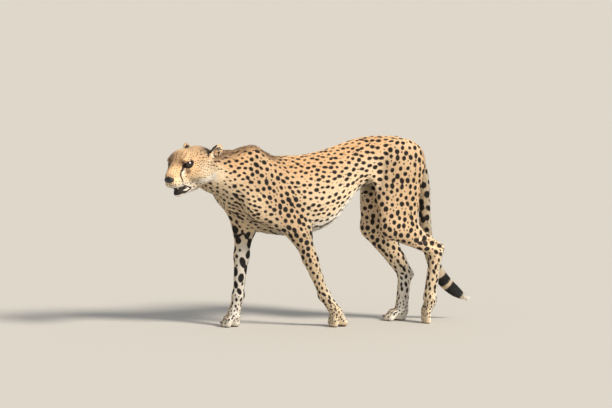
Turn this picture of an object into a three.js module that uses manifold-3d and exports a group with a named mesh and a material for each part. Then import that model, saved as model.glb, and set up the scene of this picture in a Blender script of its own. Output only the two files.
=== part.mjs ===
// A walking cheetah as a life-size still model, in millimetres, +Z up.
// It faces -X, its left side is towards -Y, and it stands on the plane Z = 0.
//
// The body is one blended volume: named masses of bone and muscle, each a
// distance function, joined by smooth minima. Each named part of the body is
// the surface of that volume inside its own cutter, meshed at its own step,
// so that neighbours meet along thin cuts.

import * as THREE from 'three';
import { mergeVertices } from 'three/addons/utils/BufferGeometryUtils.js';
import Module from 'manifold-3d';

const wasm = await Module();
wasm.setup();

// ---------------------------------------------------------------- sizes

const LEFT = -1; // the sign of Y on each side
const RIGHT = 1;
const CUT = 0.5; // width of the cuts between neighbouring parts
const SLACK = 0.13; // how far simplifying may move a face, as a share of the step
const SCRAP = 0.35; // detail finer than this is smoothed out of a finished piece
const FLOOR = 0;

// Back and belly line, station by station from the chest to the rump.
const TRUNK = {
  x: [-378, -325, -285, -240, -170, -90, 0, 60, 110, 150, 200, 260, 320, 365, 398],
  top: [696, 736, 743, 724, 697, 692, 707, 724, 740, 750, 757, 757, 741, 712, 672],
  bottom: [468, 405, 378, 362, 351, 350, 371, 406, 470, 516, 546, 560, 572, 580, 585],
  half: [54, 76, 84, 89, 94, 98, 98, 92, 84, 77, 74, 76, 76, 62, 40],
};
const KEEL = 0.3; // how much the chest narrows to the breastbone
const RIDGE = 0.22; // how much the back narrows to the spine
const TRUNK_CAPS = [40, 26]; // how far the trunk's rounded ends reach

// Head: where its frame sits, how it is turned, and its main measures.
const HEAD_AT = [-622, -108, 675]; // halfway between the eyes
const HEAD_TURN = 35; // degrees to the animal's left
const HEAD_NOD = 10; // degrees nose down
const HEAD_TILT = 5; // degrees, left side up
const EYE = { ahead: -9, aside: 42, above: -2, radius: 19 };
const NOSE = { ahead: 80, above: -42, radii: [13, 20, 13] };
const EAR = { wide: 27, tall: 34, thick: 13, faces: [0.25, 0.92, -0.3] };
const EARS = {
  left: { root: [-133, 52, -8], tip: [-181, 84, 29] },
  right: { root: [-130, -52, 0], tip: [-170, -82, 44] },
};

// Joints of the legs, upper to lower, with the pad behind the toes.
const FORE = {
  left: {
    blade: [-285, -42, 694], shoulder: [-272, -70, 500], elbow: [-108, -74, 384],
    wrist: [-4, -67, 128], knuckle: [50, -66, 52], pad: [76, -66, 17], toe: [31, -66, 10],
  },
  right: {
    blade: [-268, 40, 696], shoulder: [-366, 58, 552], elbow: [-296, 70, 398],
    wrist: [-324, 60, 124], knuckle: [-344, 58, 44], pad: [-338, 58, 15], toe: [-381, 58, 10],
  },
};
const HIND = {
  left: {
    hip: [322, -66, 630], sit: [362, -56, 606], knee: [276, -88, 394],
    hock: [466, -70, 288], heel: [490, -68, 304], knuckle: [443, -63, 102], pad: [451, -63, 84],
    toe: [426, -62, 9],
  },
  right: {
    hip: [318, 66, 630], sit: [360, 56, 606], knee: [252, 86, 376],
    hock: [380, 66, 182], heel: [406, 65, 182], knuckle: [365, 61, 42], pad: [364, 61, 14],
    toe: [304, 61, 10],
  },
};
const TOE_SPREAD = [-25, -8.5, 8.5, 25]; // across the paw
const TOE_REACH = [-9, 3, 3, -9]; // the middle two toes lie ahead
const CLAW = { length: 17, radius: 3.4 };

// Tail: its centreline from the rump to the tip, and its radius along it.
const TAIL = {
  line: [
    [386, 0, 682], [420, 0, 620], [437, 0, 545], [441, 0, 455], [446, 0, 370],
    [462, 0, 285], [492, 0, 208], [533, 0, 150], [577, 0, 112], [612, 0, 90],
  ],
  radius: [32, 29, 27, 26, 26, 26, 27, 28, 24, 13],
};

// ---------------------------------------------------------------- vectors

const vec = (p) => new THREE.Vector3(...p);
const mix = THREE.MathUtils.lerp;
const UP = new THREE.Vector3(0, 0, 1);
const ACROSS = new THREE.Vector3(0, 1, 0);

// The head's own frame: ahead along the muzzle, aside to its left, above.
const headFrame = (() => {
  const frame = new THREE.Matrix4();
  const face = new THREE.Matrix4().makeBasis(
    new THREE.Vector3(-1, 0, 0), new THREE.Vector3(0, -1, 0), UP);
  const turn = new THREE.Matrix4().makeRotationZ(THREE.MathUtils.degToRad(HEAD_TURN));
  const nod = new THREE.Matrix4().makeRotationY(THREE.MathUtils.degToRad(HEAD_NOD));
  const tilt = new THREE.Matrix4().makeRotationX(THREE.MathUtils.degToRad(HEAD_TILT));
  return frame.makeTranslation(...HEAD_AT).multiply(turn).multiply(face).multiply(nod).multiply(tilt);
})();
const onHead = (ahead, aside, above) => vec([ahead, aside, above]).applyMatrix4(headFrame);

// ---------------------------------------------------------------- masses

// A smooth union of two distances, rounded over a width k.
function blend(a, b, k) {
  const h = Math.max(k - Math.abs(a - b), 0) / k;
  return Math.min(a, b) - h * h * k * 0.25;
}

// A smooth cut of b out of a.
function carve(a, b, k) {
  return -blend(-a, b, k);
}

// An ellipsoid, with its axes along a frame's or along X, Y and Z.
function ball(centre, radii, frame = null) {
  const place = frame ? frame.clone() : new THREE.Matrix4();
  place.setPosition(centre);
  const back = place.invert();
  const r = vec(radii);
  const q = new THREE.Vector3();
  return (p) => {
    q.copy(p).applyMatrix4(back).divide(r);
    const k0 = q.length();
    const k1 = q.divide(r).length();
    return k1 < 1e-9 ? -Math.min(...radii) : (k0 * (k0 - 1)) / k1;
  };
}

// A limb: a cone with round ends from a to b, squashed along one direction.
function limb(a, b, ra, rb, squash = 1, across = ACROSS) {
  const flatten = (p) => p.addScaledVector(across, p.dot(across) * (1 / squash - 1));
  const start = flatten(a.clone());
  const axis = flatten(b.clone()).sub(start);
  const l2 = axis.lengthSq();
  const taper = ra - rb;
  const a2 = l2 - taper * taper;
  const pa = new THREE.Vector3();
  const off = new THREE.Vector3();
  return (p) => {
    flatten(pa.copy(p)).sub(start);
    const y = pa.dot(axis);
    const z = y - l2;
    const x2 = off.copy(pa).multiplyScalar(l2).addScaledVector(axis, -y).lengthSq();
    const y2 = y * y * l2;
    const z2 = z * z * l2;
    const k = Math.sign(taper) * taper * taper * x2;
    let d;
    if (Math.sign(z) * a2 * z2 > k) d = Math.sqrt(x2 + z2) / l2 - rb;
    else if (Math.sign(y) * a2 * y2 < k) d = Math.sqrt(x2 + y2) / l2 - ra;
    else d = (Math.sqrt((x2 * a2) / l2) + y * taper) / l2 - ra;
    return d * Math.min(1, squash);
  };
}

// A value read off a list of stations, smoothly.
function along(xs, values, x) {
  if (x <= xs[0]) return values[0];
  const last = xs.length - 1;
  if (x >= xs[last]) return values[last];
  let i = 0;
  while (x > xs[i + 1]) i += 1;
  const slope = (j) => {
    const lo = Math.max(j - 1, 0);
    const hi = Math.min(j + 1, last);
    return (values[hi] - values[lo]) / (xs[hi] - xs[lo]);
  };
  const w = xs[i + 1] - xs[i];
  const t = (x - xs[i]) / w;
  const h = (1 - t) ** 2;
  return h * (1 + 2 * t) * values[i] + h * t * w * slope(i)
    + t * t * (3 - 2 * t) * values[i + 1] - t * t * (1 - t) * w * slope(i + 1);
}

// The barrel of the body, an egg-shaped section at each station.
function trunkMass(p) {
  const first = TRUNK.x[0];
  const last = TRUNK.x[TRUNK.x.length - 1];
  const x = THREE.MathUtils.clamp(p.x, first, last);
  const top = along(TRUNK.x, TRUNK.top, x);
  const bottom = along(TRUNK.x, TRUNK.bottom, x);
  const high = (top - bottom) / 2;
  const up = (p.z - (top + bottom) / 2) / high;
  const narrow = 1 - KEEL * Math.max(-up, 0) ** 1.5 - RIDGE * Math.max(up, 0) ** 2;
  const wide = along(TRUNK.x, TRUNK.half, x) * Math.max(narrow, 0.3);
  const past = (p.x - x) / TRUNK_CAPS[p.x < x ? 0 : 1];
  return (Math.hypot(up, p.y / wide, past) - 1) * Math.min(high, wide) * 0.9;
}

// ---------------------------------------------------------------- the body

// [mass, blending width] in order, from the trunk outwards.
const body = [[trunkMass, 1]];

function neckMasses() {
  const base = vec([-332, 0, 598]);
  const middle = vec([-446, -10, 634]);
  const nape = onHead(-122, 0, -20);
  return [
    [limb(base, middle, 106, 79, 0.74), 46],
    [limb(middle, nape, 78, 60, 0.8), 36],
  ];
}

function foreMasses(leg, side) {
  const j = Object.fromEntries(Object.entries(leg).map(([k, p]) => [k, vec(p)]));
  const triceps = j.blade.clone().lerp(j.shoulder, 0.55).add(vec([38, 0, 10]));
  const pit = j.elbow.clone().add(vec([6, -side * 6, 8]));
  const low = j.elbow.clone().lerp(j.wrist, 0.42);
  const tip = j.elbow.clone().add(vec([20, 0, 20]));
  return [
    [limb(j.blade, j.shoulder, 30, 58, 0.55), 34],
    [limb(triceps, pit, 58, 34, 0.58), 34],
    [limb(j.shoulder, j.elbow, 52, 42, 0.62), 30],
    [ball(tip, [17, 15, 20]), 22],
    [limb(j.elbow, low, 40, 31, 0.82), 22],
    [limb(low, j.wrist, 31, 21, 0.86), 14],
    [ball(j.wrist, [25, 23, 26]), 16],
  ];
}

function hindMasses(leg, side) {
  const j = Object.fromEntries(Object.entries(leg).map(([k, p]) => [k, vec(p)]));
  const calf = j.knee.clone().lerp(j.hock, 0.28).add(vec([16, 0, 12]));
  const ham = j.knee.clone().lerp(j.hock, 0.34).add(vec([8, 0, 14]));
  const string = calf.clone().lerp(j.heel, 0.55);
  return [
    [ball(j.hip.clone().add(vec([4, -side * 12, 34])), [92, 46, 80]), 40],
    [limb(j.hip, j.knee, 80, 46, 0.52), 36],
    [limb(j.knee.clone().add(vec([-38, -side * 28, 190])), j.knee.clone().add(vec([-3, 0, 26])), 44, 34, 0.55), 30],
    [limb(j.sit, ham, 44, 34, 0.62), 34],
    [ball(j.knee.clone().add(vec([-6, 0, 4])), [30, 28, 36]), 26],
    [limb(j.knee, j.hock, 42, 25, 0.72), 22],
    [limb(calf, string, 38, 20, 0.7), 24],
    [limb(string, j.heel, 17, 13, 0.85), 16],
    [ball(j.hock, [24, 22, 26]), 14],
    [limb(j.hock, j.knuckle, 26, 24, 0.85), 14],
  ];
}

// A paw: the instep, the pad behind the toes and four arched toes.
function pawShape(leg) {
  const knuckle = vec(leg.knuckle);
  const toe = vec(leg.toe);
  const reach = toe.clone().sub(knuckle);
  const ahead = reach.clone().normalize();
  const sole = ahead.clone().cross(ACROSS);
  if (sole.dot(vec(leg.pad).sub(knuckle)) < 0) sole.negate();
  const toes = TOE_SPREAD.map((aside, i) => {
    const root = knuckle.clone().addScaledVector(ACROSS, aside * 0.72).addScaledVector(sole, 3);
    const tip = knuckle.clone().add(reach).addScaledVector(ACROSS, aside);
    tip.addScaledVector(new THREE.Vector3(ahead.x, 0, Math.min(ahead.z, 0) * 0.2), TOE_REACH[i]);
    const joint = root.clone().lerp(tip, 0.58).addScaledVector(sole, -8);
    return { root, joint, tip };
  });
  return { knuckle, pad: vec(leg.pad), toes, ahead, sole };
}

function pawMasses(leg) {
  const { knuckle, pad, toes } = pawShape(leg);
  const web = pad.clone().lerp(toes[1].tip.clone().lerp(toes[2].tip, 0.5), 0.42);
  return [
    [limb(vec(leg.wrist ?? leg.hock), knuckle, 22, 25, 1), 14],
    [limb(knuckle, pad, 24, 17, 1.3), 14],
    [limb(pad, web, 15, 12, 1.6), 12],
    ...toes.flatMap(({ root, joint, tip }) => [
      [limb(root, joint, 15, 13.5), 8], [limb(joint, tip, 13.5, 12.5), 6]]),
  ];
}

// The tail, swept along a smooth curve through its points.
const tailCurve = new THREE.CatmullRomCurve3(TAIL.line.map(vec));
const tailMass = (() => {
  const links = 27;
  const last = TAIL.radius.length - 1;
  const index = TAIL.radius.map((r, i) => i / last);
  const spot = (t) => [tailCurve.getPoint(t), along(index, TAIL.radius, t)];
  const chain = [];
  for (let i = 0; i < links; i += 1) {
    const [a, ra] = spot(i / links);
    const [b, rb] = spot((i + 1) / links);
    chain.push(limb(a, b, ra, rb));
  }
  return (p) => (p.x < 330 ? p.distanceTo(tailCurve.points[0]) : Math.min(...chain.map((m) => m(p))));
})();

function headMasses() {
  const part = (a, b, c, radii, k) => [ball(onHead(a, b, c), radii, headFrame), k];
  const pair = (a, b, c, radii, k) => [part(a, b, c, radii, k), part(a, -b, c, radii, k)];
  return [
    part(-85, 0, -4, [84, 66, 50], 30), // braincase
    part(-26, 0, 22, [46, 50, 33], 22), // forehead
    ...pair(-34, 46, -32, [46, 30, 38], 20), // cheekbones
    ...pair(-90, 43, -60, [52, 36, 44], 26), // jaw muscle and ruff
    ...pair(-4, 36, 19, [22, 18, 12], 14), // brows
    [limb(onHead(-4, 0, 8), onHead(66, 0, -30), 30, 20), 16], // nose bridge
    [limb(onHead(-6, 0, -46), onHead(50, 0, -55), 46, 28), 18], // muzzle
    ...pair(50, 17, -61, [25, 19, 21], 10), // whisker pads
    part(66, 0, -48, [14, 18, 17], 8), // under the nose leather
    [ball(onHead(NOSE.ahead, 0, NOSE.above), NOSE.radii, headFrame), 4],
    [earMass(EARS.left), 7],
    [earMass(EARS.right), 7],
  ];
}

function jawMasses() {
  return [
    [limb(onHead(-62, 0, -86), onHead(28, 0, -104), 42, 20, 0.85, UP), 22],
    [ball(onHead(37, 0, -108), [17, 19, 15], headFrame), 8], // chin
  ];
}

// The ears are laid back, each a shallow cup: its long way runs from the root
// to the tip, its hollow faces out to the side.
function earShape(ear) {
  const root = onHead(...ear.root);
  const tip = onHead(...ear.tip);
  const side = Math.sign(ear.root[1]);
  const hollow = onHead(EAR.faces[0], side * EAR.faces[1], EAR.faces[2]).sub(onHead(0, 0, 0));
  const rise = tip.clone().sub(root).normalize();
  const wide = rise.clone().cross(hollow).normalize();
  const out = wide.clone().cross(rise).normalize();
  if (out.dot(hollow) < 0) {
    out.negate();
    wide.negate();
  }
  const frame = new THREE.Matrix4().makeBasis(wide, rise, out);
  return { root, tip, out, frame, middle: root.clone().lerp(tip, 0.5) };
}

function earMass(ear) {
  const { middle, out, frame } = earShape(ear);
  const cup = ball(middle, [EAR.wide, EAR.tall, EAR.thick], frame);
  const dish = ball(middle.clone().addScaledVector(out, EAR.thick),
    [EAR.wide * 0.72, EAR.tall * 0.74, EAR.thick * 1.1], frame);
  return (p) => carve(cup(p), dish(p), 3);
}

// The open mouth: a flat wedge between the lips, closing at the corners.
const mouth = (() => {
  const across = onHead(0, 1, 0).sub(onHead(0, 0, 0));
  return limb(onHead(14, 0, -88), onHead(96, 0, -91), 3, 9, 5, across);
})();

const torso = [...body, ...neckMasses(),
  ...foreMasses(FORE.left, LEFT), ...foreMasses(FORE.right, RIGHT),
  ...hindMasses(HIND.left, LEFT), ...hindMasses(HIND.right, RIGHT)];
const paws = [FORE.left, FORE.right, HIND.left, HIND.right].map(pawMasses);
const skull = headMasses();
const jaw = jawMasses();

const add = (d, masses, p) => masses.reduce((sum, [mass, k]) => blend(sum, mass(p), k), d);

// Distance to the whole body's surface, negative inside.
function whole(p) {
  let d = torso[0][0](p);
  d = add(d, torso.slice(1), p);
  for (const paw of paws) {
    const own = add(1e6, paw, p);
    d = blend(d, own, 10);
  }
  d = blend(d, tailMass(p), 26);
  d = add(d, skull, p);
  d = add(d, jaw, p);
  d = carve(d, mouth(p), 4);
  return d;
}

// ---------------------------------------------------------------- meshing

function gradient(field, p, e = 0.5) {
  const q = new THREE.Vector3();
  const at = (x, y, z) => field(q.set(p.x + x, p.y + y, p.z + z));
  return new THREE.Vector3(
    at(e, 0, 0) - at(-e, 0, 0), at(0, e, 0) - at(0, -e, 0), at(0, 0, e) - at(0, 0, -e),
  ).divideScalar(2 * e);
}

// The corners of a cell, and its edges, each from corner `from` along `axis`.
const CORNERS = [...Array(8).keys()].map((c) => [c & 1, (c >> 1) & 1, c >> 2]);
const EDGES = [];
for (let from = 0; from < 8; from += 1) {
  for (const axis of [0, 1, 2]) {
    if (!(from & (1 << axis))) EDGES.push({ from, to: from | (1 << axis), axis });
  }
}
const edgeAt = (from, axis) => EDGES.findIndex((e) => e.from === from && e.axis === axis);

// A cell's six faces, each as its four corners in a ring and the edges between.
const FACES = [];
for (const axis of [0, 1, 2]) {
  const u = 1 << ((axis + 1) % 3);
  const v = 1 << ((axis + 2) % 3);
  for (const base of [0, 1 << axis]) {
    const ring = [base, base | u, base | u | v, base | v];
    const sides = ring.map((c, i) => {
      const d = ring[(i + 1) % 4];
      return EDGES.findIndex((e) => (e.from === c && e.to === d) || (e.from === d && e.to === c));
    });
    FACES.push({ ring, sides });
  }
}

// The crossed edges of a cell, in groups that belong to one sheet of surface.
function sheets(v) {
  const owner = EDGES.map(({ from, to }, i) => (v[from] < 0 === v[to] < 0 ? -1 : i));
  const find = (i) => (owner[i] === i ? i : find(owner[i]));
  const join = (a, b) => { owner[find(a)] = find(b); };
  for (const { ring, sides } of FACES) {
    const crossed = sides.filter((e) => owner[e] >= 0);
    if (crossed.length === 2) join(...crossed);
    if (crossed.length === 4) {
      ring.forEach((c, i) => { if (v[c] < 0) join(sides[i], sides[(i + 3) % 4]); });
    }
  }
  const groups = new Map();
  owner.forEach((o, i) => {
    if (o < 0) return;
    const key = find(i);
    groups.set(key, [...(groups.get(key) ?? []), i]);
  });
  return [...groups.values()];
}

// The surface of a field inside a box, by surface nets: one vertex for each
// sheet in a crossed cell, drawn onto the surface, and one quad over each
// crossed edge of the grid.
function netSurface(field, low, high, step) {
  const n = [0, 1, 2].map((i) => Math.ceil((high[i] - low[i]) / step) + 1);
  const size = n.map((m) => m + 1);
  const at = (i, j, k) => (k * size[1] + j) * size[0] + i;
  const values = new Float32Array(size[0] * size[1] * size[2]);
  const p = new THREE.Vector3();
  for (let k = 0; k < size[2]; k += 1) {
    for (let j = 0; j < size[1]; j += 1) {
      for (let i = 0; i < size[0]; i += 1) {
        const rim = i === 0 || j === 0 || k === 0
          || i === size[0] - 1 || j === size[1] - 1 || k === size[2] - 1;
        p.set(low[0] + i * step, low[1] + j * step, low[2] + k * step);
        values[at(i, j, k)] = rim ? Math.max(field(p), step * 0.25) : field(p);
      }
    }
  }
  const vertexOf = new Map();
  const places = [];
  for (let k = 0; k < n[2]; k += 1) {
    for (let j = 0; j < n[1]; j += 1) {
      for (let i = 0; i < n[0]; i += 1) {
        const v = CORNERS.map(([a, b, c]) => values[at(i + a, j + b, k + c)]);
        const inside = v.filter((d) => d < 0).length;
        if (inside === 0 || inside === 8) continue;
        for (const group of sheets(v)) {
          const sum = new THREE.Vector3();
          for (const e of group) {
            const { from, to } = EDGES[e];
            const t = v[from] / (v[from] - v[to]);
            sum.add(vec(CORNERS[from])).addScaledVector(vec(CORNERS[to]).sub(vec(CORNERS[from])), t);
          }
          sum.divideScalar(group.length);
          p.set(low[0] + (i + sum.x) * step, low[1] + (j + sum.y) * step, low[2] + (k + sum.z) * step);
          for (let pass = 0; pass < 3; pass += 1) {
            const d = field(p);
            const g = gradient(field, p);
            if (g.lengthSq() < 0.04 || Math.abs(d) > step * 0.6) break;
            p.addScaledVector(g, (-d / g.lengthSq()) * 0.9);
          }
          for (const e of group) vertexOf.set(at(i, j, k) * 12 + e, places.length / 3);
          places.push(p.x, p.y, p.z);
        }
      }
    }
  }
  const faces = [];
  const gap = (a, b) => Math.hypot(...[0, 1, 2].map((m) => places[3 * a + m] - places[3 * b + m]));
  // The quad round the grid edge from (i, j, k) along an axis, through the
  // four cells that share the edge.
  const quad = (i, j, k, axis, turned) => {
    const u = (axis + 1) % 3;
    const v = (axis + 2) % 3;
    const q = [[0, 0], [1, 0], [1, 1], [0, 1]].map(([du, dv]) => {
      const cell = [i, j, k];
      cell[u] -= du;
      cell[v] -= dv;
      return vertexOf.get(at(...cell) * 12 + edgeAt((du << u) | (dv << v), axis));
    });
    if (turned) q.reverse();
    if (gap(q[0], q[2]) < gap(q[1], q[3])) faces.push(q[0], q[1], q[2], q[0], q[2], q[3]);
    else faces.push(q[0], q[1], q[3], q[1], q[2], q[3]);
  };
  for (let k = 0; k < n[2]; k += 1) {
    for (let j = 0; j < n[1]; j += 1) {
      for (let i = 0; i < n[0]; i += 1) {
        const here = values[at(i, j, k)] < 0;
        if (j && k && here !== values[at(i + 1, j, k)] < 0) quad(i, j, k, 0, !here);
        if (i && k && here !== values[at(i, j + 1, k)] < 0) quad(i, j, k, 1, !here);
        if (i && j && here !== values[at(i, j, k + 1)] < 0) quad(i, j, k, 2, !here);
      }
    }
  }
  const geometry = new THREE.BufferGeometry();
  geometry.setAttribute('position', new THREE.Float32BufferAttribute(places, 3));
  geometry.setIndex(faces);
  return geometry;
}

// ---------------------------------------------------------------- solids

function solid(geometry) {
  const bare = geometry.clone();
  for (const name of Object.keys(bare.attributes)) {
    if (name !== 'position') bare.deleteAttribute(name);
  }
  const merged = mergeVertices(bare, 1e-3);
  const index = merged.index.array;
  const faces = [];
  for (let i = 0; i < index.length; i += 3) {
    const [a, b, c] = [index[i], index[i + 1], index[i + 2]];
    if (a !== b && b !== c && c !== a) faces.push(a, b, c);
  }
  return new wasm.Manifold(new wasm.Mesh({
    numProp: 3,
    vertProperties: merged.attributes.position.array,
    triVerts: new Uint32Array(faces),
  }));
}

// The block on one side of a plane through `point`. `normal` points out of
// the block, and `margin` moves the face along it.
function half(point, normal, margin = -CUT / 2) {
  const side = 2400;
  const place = new THREE.Matrix4().lookAt(normal, new THREE.Vector3(), ACROSS);
  place.setPosition(point.clone().addScaledVector(normal, margin - side / 2));
  return solid(new THREE.BoxGeometry(side, side, side).applyMatrix4(place));
}

// An egg-shaped cutter, its axes along a frame's.
function egg(centre, radii, margin, frame = headFrame) {
  const place = frame.clone().setPosition(centre);
  const shape = new THREE.SphereGeometry(1, 12, 8);
  shape.scale(...radii.map((r) => r + margin));
  return solid(shape.applyMatrix4(place));
}

// A capsule-shaped cutter from a to b, flattened across the body.
function capsule(a, b, radius, flat, margin) {
  const rise = b.clone().sub(a);
  const shape = new THREE.CapsuleGeometry(radius + margin, rise.length(), 3, 12);
  shape.scale(1, 1, (radius * flat + margin) / (radius + margin));
  rise.normalize();
  const side = ACROSS.clone().addScaledVector(rise, -ACROSS.dot(rise)).normalize();
  const place = new THREE.Matrix4().makeBasis(rise.clone().cross(side), rise, side);
  place.setPosition(a.clone().lerp(b, 0.5));
  return solid(shape.applyMatrix4(place));
}

// The body inside a box, meshed at a step, kept inside every solid of `keep`
// and outside every solid of `drop`. Loose scraps are let go.
function piece(low, high, step, keep, drop = []) {
  let shape = solid(netSurface(whole, low, high, step)).simplify(step * SLACK);
  for (const block of keep) shape = shape.intersect(block);
  for (const block of drop) shape = shape.subtract(block);
  return shape.decompose().sort((p, q) => q.volume() - p.volume())[0].simplify(SCRAP);
}

function geometryOf(shape) {
  const mesh = shape.getMesh();
  const geometry = new THREE.BufferGeometry();
  geometry.setAttribute('position', new THREE.BufferAttribute(mesh.vertProperties, 3));
  geometry.setIndex(new THREE.BufferAttribute(mesh.triVerts, 1));
  return geometry;
}

// ---------------------------------------------------------------- cuts

const ahead = onHead(1, 0, 0).sub(onHead(0, 0, 0));
const above = onHead(0, 0, 1).sub(onHead(0, 0, 0));
const flip = (v) => v.clone().negate();
const plane = (point, normal) => ({
  inside: () => half(point, normal), outside: () => half(point, flip(normal)) });

const CUTS = {
  nape: plane(onHead(-158, 0, -20), ahead),
  mouth: plane(onHead(20, 0, -90), above.clone().addScaledVector(ahead, -0.08).normalize()),
  withers: plane(vec([-388, 0, 627]), vec([-0.933, 0, 0.359]).normalize()),
};

// Where a plane crosses a leg: at a joint, shifted along the bone below it.
function crossing(from, to, shift) {
  const bone = vec(to).sub(vec(from)).normalize();
  return plane(vec(from).addScaledVector(bone, shift), bone);
}

for (const side of ['left', 'right']) {
  const fore = FORE[side];
  const hind = HIND[side];
  CUTS[`fore_${side}`] = {
    low: crossing(fore.elbow, fore.wrist, 50),
    wrist: crossing(fore.wrist, fore.knuckle, 6),
  };
  const back = vec([0.36, 0, -0.933]).normalize();
  CUTS[`hind_${side}`] = {
    low: plane(vec(hind.knee).add(vec([12, 0, -16])), back),
    hock: crossing(hind.hock, hind.knuckle, 14),
  };
}

const SHOULDER = { radius: 82, flat: 0.78, out: 25 };
const THIGH = { radius: 116, flat: 0.58, out: 26 };

function shoulderCutter(leg, side, margin) {
  const top = vec(leg.blade).lerp(vec(leg.shoulder), 0.42);
  const low = vec(leg.elbow).lerp(vec(leg.wrist), 0.06);
  top.setY(vec(leg.shoulder).y + side * SHOULDER.out);
  low.setY(vec(leg.elbow).y + side * (SHOULDER.out - 18));
  return capsule(top.add(vec([16, 0, 0])), low, SHOULDER.radius, SHOULDER.flat, margin);
}

function thighCutter(leg, side, margin) {
  const top = vec(leg.hip).add(vec([-12, side * THIGH.out, 22]));
  const low = vec(leg.knee).add(vec([16, side * (THIGH.out - 26), -6]));
  return capsule(top, low, THIGH.radius, THIGH.flat, margin);
}

const tailRoot = (margin) => capsule(
  vec(TAIL.line[1]), vec(TAIL.line[3]), TAIL.radius[1] + 14, 1, margin);
const tailCut = (t) => plane(tailCurve.getPoint(t), tailCurve.getTangent(t));
const earCutter = (ear, margin) => {
  const { middle, frame } = earShape(ear);
  return egg(middle, [EAR.wide + 7, EAR.tall + 4, EAR.thick + 9], margin, frame);
};
const noseCutter = (margin) => egg(onHead(NOSE.ahead + 4, 0, NOSE.above), [13, 23, 15], margin);
const eyeAt = (side) => onHead(EYE.ahead, side * EYE.aside, EYE.above);
const eyeBall = (side, margin) => egg(eyeAt(side), Array(3).fill(EYE.radius), margin);

// ---------------------------------------------------------------- parts

const GAP = CUT / 2;
const shapes = {};

const headBox = [[-730, -240, 510], [-400, 90, 800]];
shapes.head = piece(...headBox, 15, [CUTS.nape.outside(), CUTS.mouth.outside()], [
  earCutter(EARS.left, GAP), earCutter(EARS.right, GAP), noseCutter(GAP),
  eyeBall(1, CUT), eyeBall(-1, CUT)]);
shapes.lower_jaw = piece(...headBox, 13, [CUTS.nape.outside(), CUTS.mouth.inside()]);
shapes.nose = piece(...headBox, 11, [noseCutter(-GAP)]);
shapes.ear_left = piece(...headBox, 9.3, [earCutter(EARS.left, -GAP)]);
shapes.ear_right = piece(...headBox, 9.3, [earCutter(EARS.right, -GAP)]);
shapes.eye_left = eyeBall(1, 0);
shapes.eye_right = eyeBall(-1, 0);

shapes.neck = piece([-610, -150, 440], [-330, 150, 790], 31,
  [CUTS.nape.inside(), CUTS.withers.outside()], [earCutter(EARS.left, GAP), earCutter(EARS.right, GAP)]);
shapes.trunk = piece([-460, -150, 336], [446, 150, 790], 41, [CUTS.withers.inside()], [
  shoulderCutter(FORE.left, LEFT, GAP), shoulderCutter(FORE.right, RIGHT, GAP),
  thighCutter(HIND.left, LEFT, GAP), thighCutter(HIND.right, RIGHT, GAP), tailRoot(GAP)]);

const tailBox = [[380, -46, 50], [660, 46, 720]];
shapes.tail_base = piece(...tailBox, 19, [tailRoot(-GAP), tailCut(0.3).inside()]);
shapes.tail_middle = piece(...tailBox, 20, [tailCut(0.3).outside(), tailCut(0.62).inside()]);
shapes.tail_tip = piece(...tailBox, 18, [tailCut(0.62).outside()]);

// The box round one side of the body, from the floor up.
function sideBox(leg, side, low, high) {
  const points = Object.values(leg);
  const xs = points.map((p) => p[0]);
  const ys = side < 0 ? [-150, -8] : [8, 150];
  return [[Math.min(...xs) - 110, ys[0], low], [Math.max(...xs) + 110, ys[1], high]];
}

// A small blunt claw on top of each toe's end, clear of the floor.
function claws(leg) {
  const { toes, ahead: way, sole } = pawShape(leg);
  const top = flip(sole);
  const dir = way.clone().addScaledVector(top, 0.5).normalize();
  const turn = new THREE.Quaternion().setFromUnitVectors(new THREE.Vector3(0, 1, 0), dir);
  return toes.map(({ tip }) => {
    const root = tip.clone().addScaledVector(top, 7).addScaledVector(UP, 3).addScaledVector(dir, -3);
    const cone = new THREE.ConeGeometry(CLAW.radius, CLAW.length, 6);
    cone.translate(0, CLAW.length / 2, 0).applyQuaternion(turn).translate(...root.toArray());
    return solid(cone);
  });
}

for (const [name, side] of [['left', LEFT], ['right', RIGHT]]) {
  const fore = FORE[name];
  const hind = HIND[name];
  const foreCut = CUTS[`fore_${name}`];
  const hindCut = CUTS[`hind_${name}`];
  const floor = half(vec([0, 0, FLOOR]), flip(UP), 0);
  const upperFore = sideBox(fore, side, 300, 760);
  const lowerFore = sideBox(fore, side, 90, 420);
  const upperHind = sideBox(hind, side, 290, 790);
  const lowerHind = sideBox(hind, side, 120, 480);
  shapes[`shoulder_${name}`] = piece(...upperFore, 33,
    [shoulderCutter(fore, side, -GAP), foreCut.low.inside(), CUTS.withers.inside()]);
  shapes[`foreleg_${name}`] = piece(...lowerFore, 20, [foreCut.low.outside(), foreCut.wrist.inside()]);
  shapes[`thigh_${name}`] = piece(...upperHind, 35,
    [thighCutter(hind, side, -GAP), hindCut.low.inside()], [tailRoot(GAP)]);
  shapes[`shank_${name}`] = piece(...lowerHind, 22, [hindCut.low.outside(), hindCut.hock.inside()]);
  for (const [limbName, leg, cut, top] of [
    ['forepaw', fore, foreCut.wrist, 160], ['hindfoot', hind, hindCut.hock, 330]]) {
    let paw = piece(...sideBox(leg, side, -20, top), 13.5, [cut.outside(), floor]);
    for (const claw of claws(leg)) paw = paw.add(claw);
    shapes[`${limbName}_${name}`] = paw;
  }
}

// ---------------------------------------------------------------- the group

// The colour and roughness of each piece, by the start of its name.
const COAT = { color: 0xdcb885, roughness: 0.85, metalness: 0 };
const FINISHES = {
  head: { ...COAT, color: 0xd2a56c },
  lower_jaw: { ...COAT, color: 0xeee4d2 },
  nose: { color: 0x2a2320, roughness: 0.45, metalness: 0 },
  ear: { ...COAT, color: 0xd9b888 },
  eye: { color: 0x8a5a1e, roughness: 0.08, metalness: 0 },
  neck: { ...COAT, color: 0xd7ab72 },
  trunk: { ...COAT, color: 0xd9ab70 },
  tail_tip: { ...COAT, color: 0x4a4038 },
};

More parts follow.
